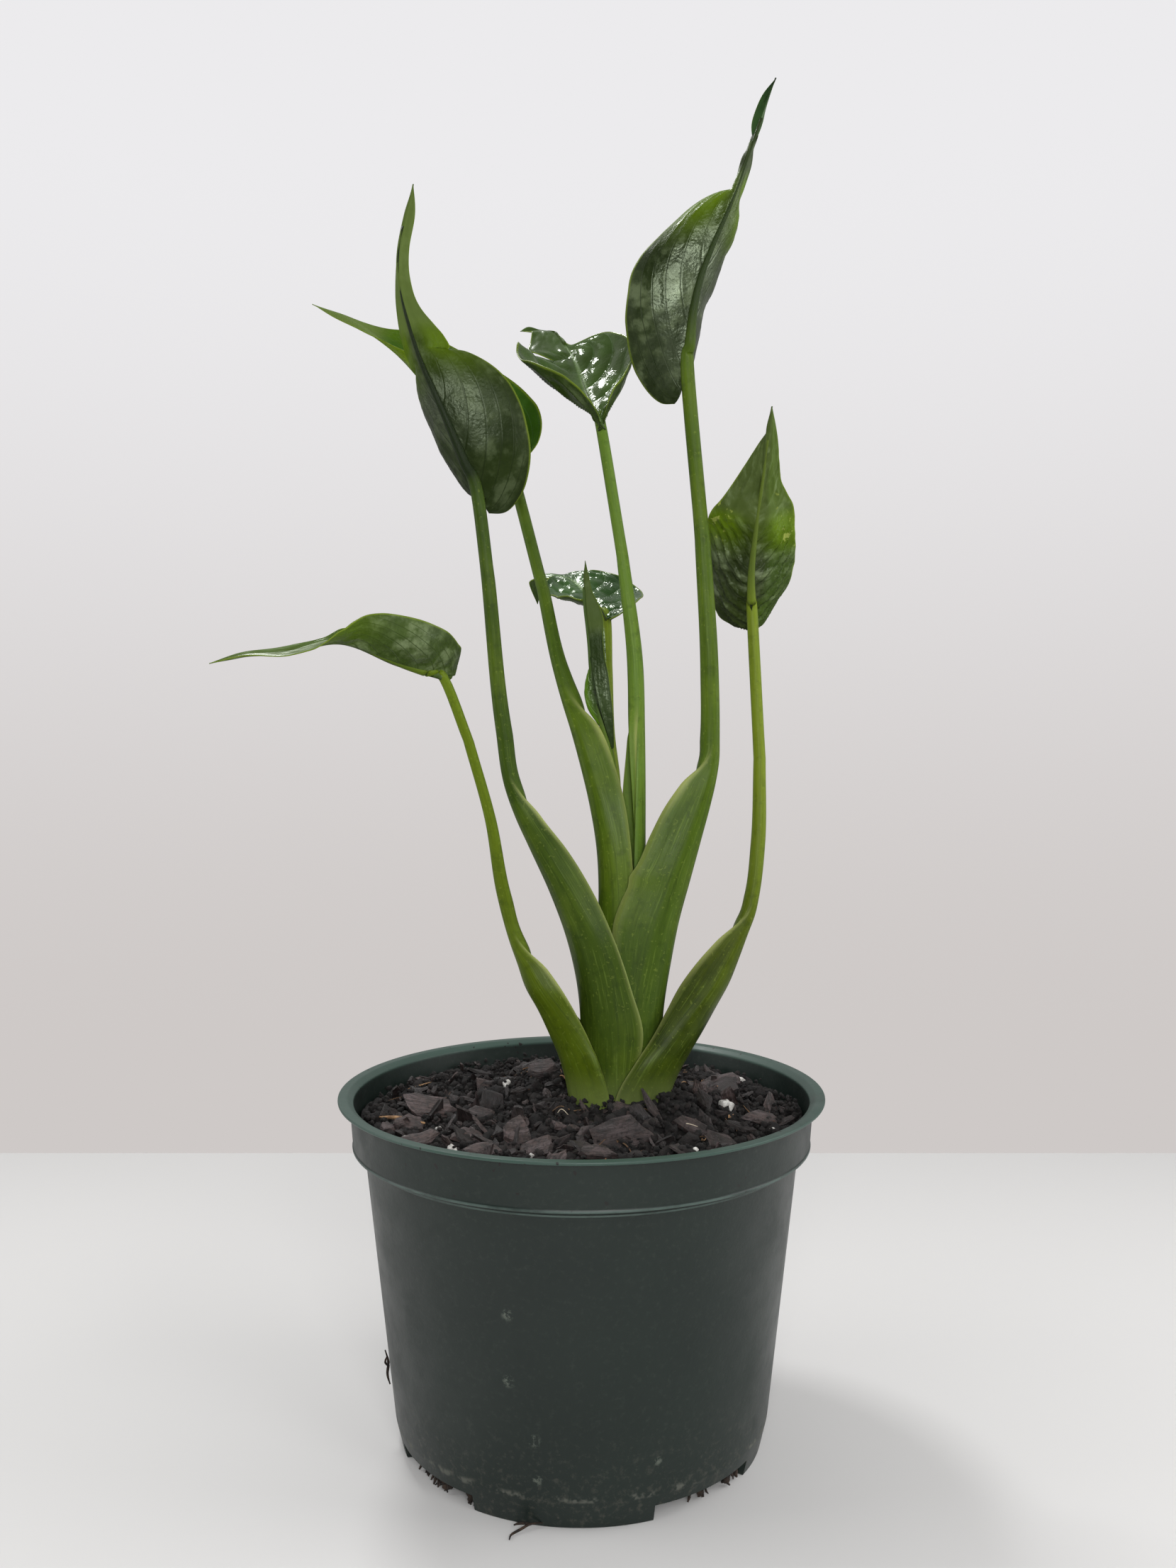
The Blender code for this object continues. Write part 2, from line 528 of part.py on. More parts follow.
def potting_mix():
    paint = material("potting_mix", SOIL_BROWN, 0.9)
    profile = [
        (0, FLOOR_THICKNESS + GAP), (DISH_INNER_RADIUS - 1.1, FLOOR_THICKNESS + GAP),
        (DISH_OUTER_RADIUS - 1.1, FLOOR_TOP_Z + GAP), (FOOT_EDGE_RADIUS - POT_WALL - 0.7, FLOOR_TOP_Z + GAP),
        (WALL_TOP_RADIUS - POT_WALL - GAP, WALL_TOP_Z + 1.0),
        (BAND_FOOT_RADIUS - POT_WALL - 0.7, BAND_FOOT_Z + 1.2),
    ]
    wall_x = BAND_FOOT_RADIUS - POT_WALL - GAP
    top = [(wall_x * (1 - i / SOIL_RINGS), SOIL_EDGE_Z) for i in range(SOIL_RINGS + 1)]
    bm = bmesh.new()
    spin_profile(bm, profile + top, 2 * math.pi, POT_SIDES)
    bmesh.ops.remove_doubles(bm, verts=bm.verts, dist=0.001)
    for vert in bm.verts:
        if abs(vert.co.z - SOIL_EDGE_Z) < 0.01:
            vert.co.z = soil_height(vert.co.x, vert.co.y)
    mix = finish(bm, "potting_mix", paint, 30)

    rng = random.Random(SCATTER_SEED)
    pieces = []
    for i in range(CHIP_COUNT):
        x, y = scatter_place(rng, 32, 58)
        length = rng.uniform(12, 26)
        size = (length, length * rng.uniform(0.4, 0.65), rng.uniform(2.2, 3.4))
        turn = (rng.uniform(-0.3, 0.3), rng.uniform(-0.3, 0.3), rng.uniform(0, 2 * math.pi))
        place = (x, y, soil_height(x, y) - size[2] * 0.45)
        pieces.append(bark_chip("chip", place, size, turn, rng, paint))
    for i in range(PERLITE_COUNT):
        x, y = scatter_place(rng, 30, 66)
        bm = bmesh.new()
        bmesh.ops.create_icosphere(bm, subdivisions=1, radius=rng.uniform(2.0, 3.0))
        bmesh.ops.translate(bm, verts=bm.verts, vec=(x, y, soil_height(x, y) + 0.6))
        pieces.append(finish(bm, "perlite", paint))
    combine(mix, pieces, "UNION")

    bm = bmesh.new()
    bmesh.ops.create_cone(bm, cap_ends=True, segments=24, radius1=HOLE_RADIUS, radius2=HOLE_RADIUS,
                          depth=80)
    bmesh.ops.translate(bm, verts=bm.verts, vec=(STEM_X, STEM_Y, HOLE_FLOOR_Z + 40))
    hole = finish(bm, "hole", bpy.data.materials["cutter"])
    combine(mix, [hole], "DIFFERENCE")
    return mix


def corm():
    paint = material("corm", CORM_BROWN, 0.8)
    profile = (
        (0, CORM_FOOT_Z), (CORM_RADIUS - 7, CORM_FOOT_Z), (CORM_RADIUS - 2, CORM_FOOT_Z + 6),
        (CORM_RADIUS, CORM_FOOT_Z + 14),
        (CORM_RADIUS - 0.3, CORM_TOP_Z - 2), (CORM_RADIUS - 1.5, CORM_TOP_Z), (0, CORM_TOP_Z),
    )
    body = turned("corm", profile, paint, CORM_SIDES)
    body.data.transform(Matrix.Translation((STEM_X * MM, STEM_Y * MM, 0)))
    return body


def main():
    clear_scene()
    material("cutter", (0.5, 0.5, 0.5, 1), 0.5)
    pot()
    potting_mix()
    corm()
    for name, spec in STALKS.items():
        stalk_solid(name, spec, material(name, STALK_GREEN, 0.4))
    for name, spec in BLADES.items():
        colour = YOUNG_GREEN if name == "blade_h" else LEAF_GREEN
        blade_solid(name, Blade(**spec), material(name, colour, 0.3))


main()
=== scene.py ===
# %% [markdown]
# # A potted tiny dancer alocasia
#
# This lesson dresses a small houseplant: eight cupped leaves with drawn-out tips, long
# stalks that wrap round each other, bark mix and a thin plastic nursery pot. The packed
# solids come first, because every piece is laid where its solid is.

# %% Load the solids
import math
import random

import bmesh
import bpy
import numpy as np
from mathutils import Matrix, Vector, noise


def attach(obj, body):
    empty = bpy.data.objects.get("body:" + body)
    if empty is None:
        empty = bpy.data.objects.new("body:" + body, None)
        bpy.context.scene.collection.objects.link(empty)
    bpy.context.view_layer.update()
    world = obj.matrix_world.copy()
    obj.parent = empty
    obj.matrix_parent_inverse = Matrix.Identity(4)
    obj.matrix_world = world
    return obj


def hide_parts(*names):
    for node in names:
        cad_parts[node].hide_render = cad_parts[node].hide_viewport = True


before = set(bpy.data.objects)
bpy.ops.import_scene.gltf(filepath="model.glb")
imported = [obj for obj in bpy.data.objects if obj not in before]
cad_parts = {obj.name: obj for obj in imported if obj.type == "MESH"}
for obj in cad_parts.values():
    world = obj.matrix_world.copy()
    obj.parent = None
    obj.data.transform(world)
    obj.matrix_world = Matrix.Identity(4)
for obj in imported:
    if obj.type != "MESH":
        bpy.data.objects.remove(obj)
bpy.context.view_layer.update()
MM = 0.001
print("solids:", len(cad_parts))

# %% [markdown]
# The camera stands as close as a phone held in front of the plant, a little over half its
# height, and looks very slightly down. A focal length in pixels turns into a lens in
# millimetres when the long side of the picture is taken as a 36 mm sensor.

# %% Camera
PICTURE_HEIGHT = 2212
FOCAL_PIXELS = 1850.0
CAMERA_PLACE = (0.00219, -0.4484, 0.23305)
CAMERA_DIP = 0.02566
SENSOR = 36.0

lens = bpy.data.cameras.new("camera")
lens.sensor_width = SENSOR
lens.lens = SENSOR * FOCAL_PIXELS / PICTURE_HEIGHT
lens.clip_start = 0.01
camera = bpy.data.objects.new("camera", lens)
camera.location = CAMERA_PLACE
camera.rotation_euler = (math.pi / 2 - CAMERA_DIP, 0, 0)
bpy.context.scene.collection.objects.link(camera)
bpy.context.scene.camera = camera
print("lens mm:", round(lens.lens, 2))

# %% [markdown]
# ## Studio
#
# The plant stands on a pale sheet inside a light tent: bright cloth above and on both
# sides, and an open, darker front. That is why the front of the pot is dark while its two
# sides are pale. A world that is bright behind and above and dim in front gives the same
# soft reflections, and area lights give the sharper ones on the wet-looking leaves.

# %% Small helpers for materials
def new_material(name):
    """An empty node material, its node tree and its output node."""
    made = bpy.data.materials.new(name)
    made.use_nodes = True
    made.node_tree.nodes.clear()
    output = made.node_tree.nodes.new("ShaderNodeOutputMaterial")
    return made, made.node_tree, output


def node(tree, kind, inputs=None, **settings):
    """Add one node, set its properties, and plug or set its inputs."""
    added = tree.nodes.new("ShaderNode" + kind)
    for key, value in settings.items():
        setattr(added, key, value)
    for key, value in (inputs or {}).items():
        socket = added.inputs[key]
        if isinstance(value, bpy.types.NodeSocket):
            tree.links.new(value, socket)
        else:
            socket.default_value = value
    return added


def maths(tree, operation, first, second=0.5, third=0.5):
    """One step of arithmetic. A step that needs fewer numbers ignores the rest."""
    return node(tree, "Math", {0: first, 1: second, 2: third}, operation=operation).outputs[0]


def times(tree, *values):
    """The product of two or more values."""
    product = values[0]
    for value in values[1:]:
        product = maths(tree, "MULTIPLY", product, value)
    return product


def mix_value(tree, share, first, second):
    return node(tree, "Mix", {0: share, 2: first, 3: second}, data_type="FLOAT").outputs[0]


def mix_colour(tree, share, first, second):
    return node(tree, "Mix", {0: share, 6: first, 7: second}, data_type="RGBA").outputs[2]


def layered(tree, colour, *coats):
    """Lay coats over a colour. Each is given as its mask and its own colour."""
    for mask, coat in coats:
        colour = mix_colour(tree, mask, colour, coat)
    return colour


def fade(tree, value, low, high, out_low=0.0, out_high=1.0):
    """A smooth ramp of a value, held at both ends."""
    wanted = {0: value, 1: low, 2: high, 3: out_low, 4: out_high}
    return node(tree, "MapRange", wanted, interpolation_type="SMOOTHSTEP").outputs[0]


def band(tree, value, low, full, still_full, high):
    """1 in the middle of a range, fading to 0 at both of its ends."""
    return times(tree, fade(tree, value, low, full), fade(tree, value, still_full, high, 1.0, 0.0))


def speckle(tree, place, scale, detail=3.0, roughness=0.55):
    """Plain noise between 0 and 1."""
    wanted = {"Vector": place, "Scale": scale, "Detail": detail, "Roughness": roughness}
    return node(tree, "TexNoise", wanted).outputs[0]


def stretched(tree, flat_map, across, along):
    """A map scaled by one number across and by another along."""
    return node(tree, "Mapping", {"Vector": flat_map, "Scale": (across, along, 1.0)}).outputs[0]


def from_mesh(tree, name):
    """A number that each vertex of the mesh carries."""
    return node(tree, "Attribute", attribute_name=name).outputs["Fac"]


def height_of(tree, place):
    """Height above the surface that the pot stands on, in millimetres."""
    return times(tree, node(tree, "SeparateXYZ", {0: place}).outputs[2], 1 / MM)


def shader_of(tree, colour, rough, relief, bump, depth, looks=None):
    """A Principled shader bumped by a relief. Its other inputs are given in looks."""
    bumps = node(tree, "Bump", {"Height": relief, "Strength": bump, "Distance": depth})
    wanted = {"Base Color": colour, "Roughness": rough, "Normal": bumps.outputs[0]}
    return node(tree, "BsdfPrincipled", wanted | (looks or {})).outputs[0]


def rgb(red, green, blue):
    """A colour given as the eye reads it, 0 to 255, in the renderer's own scale."""
    channels = []
    for value in (red, green, blue):
        share = value / 255
        channels.append(share / 12.92 if share < 0.04045 else ((share + 0.055) / 1.055) ** 2.4)
    return (*channels, 1.0)


# %% Floor
FLOOR_REACH = 0.9
FLOOR_BACK = 0.305

bm = bmesh.new()
bmesh.ops.create_grid(bm, x_segments=2, y_segments=2, size=FLOOR_REACH)
for vert in bm.verts:
    vert.co.y = min(vert.co.y, FLOOR_BACK)
floor_mesh = bpy.data.meshes.new("floor")
bm.to_mesh(floor_mesh)
bm.free()
floor = bpy.data.objects.new("floor", floor_mesh)
bpy.context.scene.collection.objects.link(floor)

paint, tree, output = new_material("floor")
shader = node(tree, "BsdfPrincipled", {"Base Color": rgb(217, 216, 215), "Roughness": 0.8})
tree.links.new(shader.outputs[0], output.inputs[0])
floor.data.materials.append(paint)

# %% Light
BACKDROP_LOW = rgb(206, 201, 199)
BACKDROP_HIGH = rgb(236, 235, 237)
TENT_COLOUR = (1.0, 0.99, 0.985, 1)
TENT_STRENGTH = 0.56
# Each lamp: its place, the point that it faces, its width and height, and its watts.
LAMPS = {
    "lamp_above": ((-0.26, 0.34, 0.92), (0, 0, 0.30), 0.18, 0.12, 3.0),
    "lamp_front": ((0.06, -0.80, 0.40), (0, 0, 0.36), 0.38, 0.20, 4.2),
    "lamp_front_right": ((0.47, -0.56, 0.61), (0, 0, 0.34), 0.22, 0.22, 0.9),
    "lamp_left": ((-0.62, -0.05, 0.40), (0, 0, 0.22), 0.4, 0.6, 1.5),
    "lamp_right": ((0.62, -0.05, 0.40), (0, 0, 0.22), 0.4, 0.6, 2.1),
}

world = bpy.data.worlds.new("tent")
bpy.context.scene.world = world
world.use_nodes = True
tree = world.node_tree
tree.nodes.clear()
direction = node(tree, "TexCoord").outputs["Generated"]
parts = node(tree, "SeparateXYZ", {0: direction})
seen = mix_colour(tree, fade(tree, parts.outputs[2], -0.22, 0.42), BACKDROP_LOW, BACKDROP_HIGH)
behind = fade(tree, parts.outputs[1], -0.75, 0.2, 0.05, 1.0)
above = fade(tree, parts.outputs[2], -0.2, 0.7, 0.55, 1.0)
strength = times(tree, behind, above, TENT_STRENGTH)
is_seen = node(tree, "LightPath").outputs["Is Camera Ray"]
tent = node(tree, "Background", {"Color": TENT_COLOUR, "Strength": strength})
backdrop = node(tree, "Background", {"Color": seen, "Strength": 1.0})
both = node(tree, "MixShader", {0: is_seen, 1: tent.outputs[0], 2: backdrop.outputs[0]})
node(tree, "OutputWorld", {0: both.outputs[0]})

for name, (place, aim, width, height, watts) in LAMPS.items():
    data = bpy.data.lights.new(name, "AREA")
    data.shape = "RECTANGLE"
    data.size = width
    data.size_y = height
    data.energy = watts
    lamp = bpy.data.objects.new(name, data)
    lamp.location = place
    lamp.rotation_euler = (Vector(aim) - Vector(place)).to_track_quat("-Z", "Y").to_euler()
    bpy.context.scene.collection.objects.link(lamp)
bpy.context.scene.view_settings.view_transform = "Standard"
print("lights:", len(LAMPS))

# %% [markdown]
# ## Turning a mesh into a piece
#
# Sizes are worked out in millimetres. The finished mesh is scaled to metres, its faces are
# turned outwards, and its object stays at the origin, so that patterns in object
# coordinates stay where they are.

# %% Helpers that shape and end a piece
def piece(bm, name, paint, replaces=(), sharp=None):
    """Make an object of a bmesh in millimetres, and tie it to the plant's one body."""
    bmesh.ops.recalc_face_normals(bm, faces=bm.faces)
    bmesh.ops.scale(bm, vec=(MM, MM, MM), verts=bm.verts)
    mesh = bpy.data.meshes.new(name)
    bm.to_mesh(mesh)
    bm.free()
    mesh.materials.append(paint)
    mesh.shade_smooth()
    if sharp:
        mesh.set_sharp_from_angle(angle=math.radians(sharp))
    made = bpy.data.objects.new(name, mesh)
    bpy.context.scene.collection.objects.link(made)
    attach(made, "root")
    if replaces:
        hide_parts(*replaces)
    print(name, "faces:", len(mesh.polygons))
    return made


def cell(vert, rows, columns):
    """Row and column of a vertex of a plain grid that runs from -1 to 1 both ways."""
    return round((vert.co.y + 1) / 2 * rows), round((vert.co.x + 1) / 2 * columns)


def close_tube(bm):
    """Join the first and last column of a rolled-up grid, and close its two ends."""
    bmesh.ops.remove_doubles(bm, verts=bm.verts, dist=0.0005)
    bmesh.ops.holes_fill(bm, edges=[edge for edge in bm.edges if edge.is_boundary], sides=0)


# %% [markdown]
# ## The form of a leaf
#
# A leaf is a sheet laid along its midrib. At each place along the midrib the sheet has a
# width, a fold at the midrib, a curl towards the edge, and an angle at which its veins
# lean. The cup ends at a narrow waist, and beyond it the blade runs out in a drip tip. The
# same few values shape the solids, so the dressed leaf lies where its solid lies.

# %% Curves
def flow(knots, values, at):
    """Smooth curve through values given at the knots, read at many places."""
    knots = np.asarray(knots, float)
    values = np.asarray(values, float)
    at = np.atleast_1d(np.asarray(at, float))
    slopes = np.gradient(values, knots, axis=0)
    i = np.clip(np.searchsorted(knots, at) - 1, 0, len(knots) - 2)
    step = knots[i + 1] - knots[i]
    t = (at - knots[i]) / step
    if values.ndim == 2:
        step, t = step[:, None], t[:, None]
    start = (1 + 2 * t) * (1 - t) ** 2 * values[i] + t * (1 - t) ** 2 * step * slopes[i]
    end = t * t * (3 - 2 * t) * values[i + 1] + t * t * (t - 1) * step * slopes[i + 1]
    return start + end


def unit(vectors):
    return vectors / np.linalg.norm(vectors, axis=-1, keepdims=True)


def smooth_step(t):
    t = np.clip(t, 0.0, 1.0)
    return t * t * (3 - 2 * t)


# %% The sheet of a leaf
# Place along the cup or the tip, and the half width there as a share of the widest.
OUTLINE_CUP = ((0.0, 0.30), (0.06, 0.60), (0.16, 0.84), (0.30, 0.97), (0.46, 1.0), (0.66, 0.90), (0.85, 0.68))
OUTLINE_TIP = ((0.15, 0.62), (0.40, 0.36), (0.70, 0.20))
# The least half width, how soft the crease at the midrib is, and how much more the sheet
# is drawn out at its edge than beside the midrib.
NARROWEST = 0.015
CREASE = 0.05
EDGE_PULL = 1.2
# Degrees by which the rows lean back at the leaf's base, and forward beyond its middle.
BACKWARD_LEAN = 84
FORWARD_LEAN = 34
LEAST_BEND = 1e-4
# How far before and behind a place its direction is read.
NEARBY = 0.01


class Blade:
    """The form of one leaf blade: a folded, curled cup that ends in a drip tip."""

    def __init__(self, midrib, up_base, up_tip, left, right, fold, curl, waist, left_edge, right_edge,
                 swell=((0.0, 0.0), (1.0, 0.0))):
        self.points = np.array(midrib, float)
        steps = np.linalg.norm(np.diff(self.points, axis=0), axis=1)
        self.length = steps.sum()
        self.along = np.concatenate([[0.0], np.cumsum(steps)]) / self.length
        self.waist = self.along[2]
        self.up_base = np.array(up_base, float)
        self.up_tip = np.array(up_tip, float)
        self.left = left
        self.right = right
        self.fold = fold
        self.curl = math.radians(curl)
        tip = 1 - self.waist
        outline = [(at * self.waist, share) for at, share in OUTLINE_CUP]
        outline += [(self.waist + at * tip, waist * share) for at, share in OUTLINE_TIP]
        self.outline = np.array(outline + [(1.0, NARROWEST)])
        self.edges = {-1.0: np.array(left_edge, float), 1.0: np.array(right_edge, float)}
        self.swell = np.array(swell, float)

    def frame(self, u):
        """Place on the midrib, and directions along it, out of the upper side and right."""
        place = flow(self.along, self.points, u)
        ahead = flow(self.along, self.points, np.clip(u + NEARBY, 0, 1))
        back = flow(self.along, self.points, np.clip(u - NEARBY, 0, 1))
        tangent = unit(ahead - back)
        up = self.up_base * (1 - u[:, None]) + self.up_tip * u[:, None]
        normal = unit(up - tangent * np.sum(up * tangent, axis=1, keepdims=True))
        return place, tangent, normal, np.cross(tangent, normal)

    def width(self, u):
        """Half width as a share of the widest."""
        return np.maximum(flow(self.outline[:, 0], self.outline[:, 1], u), NARROWEST)

    def lay(self, u, s):
        """Upper skin for rows u and columns s, drawn out to the measured edges."""
        skin = self.plain(u, s)
        place = self.frame(u)[0]
        for side, rows in self.edges.items():
            wanted = flow(rows[:, 0], rows[:, 1:], u)
            edge = self.plain(u, np.array([side]))[:, 0]
            pull = np.zeros_like(place)
            pull[:, 0] = place[:, 0] + wanted[:, 0] - edge[:, 0]
            pull[:, 2] = place[:, 2] + wanted[:, 1] - edge[:, 2]
            share = np.where(s * side > 0, np.abs(s) ** EDGE_PULL, 0.0)
            skin += pull[:, None, :] * share[None, :, None]
        belly = np.where(s > 0, np.sin(np.pi * np.clip(s, 0, 1) ** 0.7), 0.0)
        skin[:, :, 0] -= flow(self.swell[:, 0], self.swell[:, 1], u)[:, None] * belly[None, :]
        return skin

    def plain(self, u, s):
        """The folded, curled sheet before its edges are drawn out."""
        place, tangent, normal, right = self.frame(u)
        back = BACKWARD_LEAN * (1 - smooth_step(u / self.waist / 0.62))
        forward = FORWARD_LEAN * smooth_step((u / self.waist - 0.5) / 0.5)
        lean = np.radians(back - forward)
        side = np.where(s >= 0, 1.0, -1.0)
        half = np.where(s >= 0, self.right, self.left)
        width = self.width(u)[:, None] * half[None, :]
        out = (side[None, :, None] * (np.cos(lean)[:, None] * right)[:, None, :]
               - (np.sin(lean)[:, None] * tangent)[:, None, :])
        start = np.radians(flow((0.0, self.waist, 1.0), self.fold, u))[:, None]
        bend = (self.curl * (1 - smooth_step((u / self.waist - 0.8) / 0.4)) + LEAST_BEND)[:, None]
        reach = np.abs(s)[None, :]
        across = (np.sin(start + bend * reach) - np.sin(start)) / bend
        soft = np.sqrt(reach ** 2 + CREASE ** 2) - CREASE
        rise = (np.cos(start) - np.cos(start + bend * soft)) / bend
        lifted = (width * rise)[:, :, None] * normal[:, None, :]
        return place[:, None, :] + (width * across)[:, :, None] * out + lifted
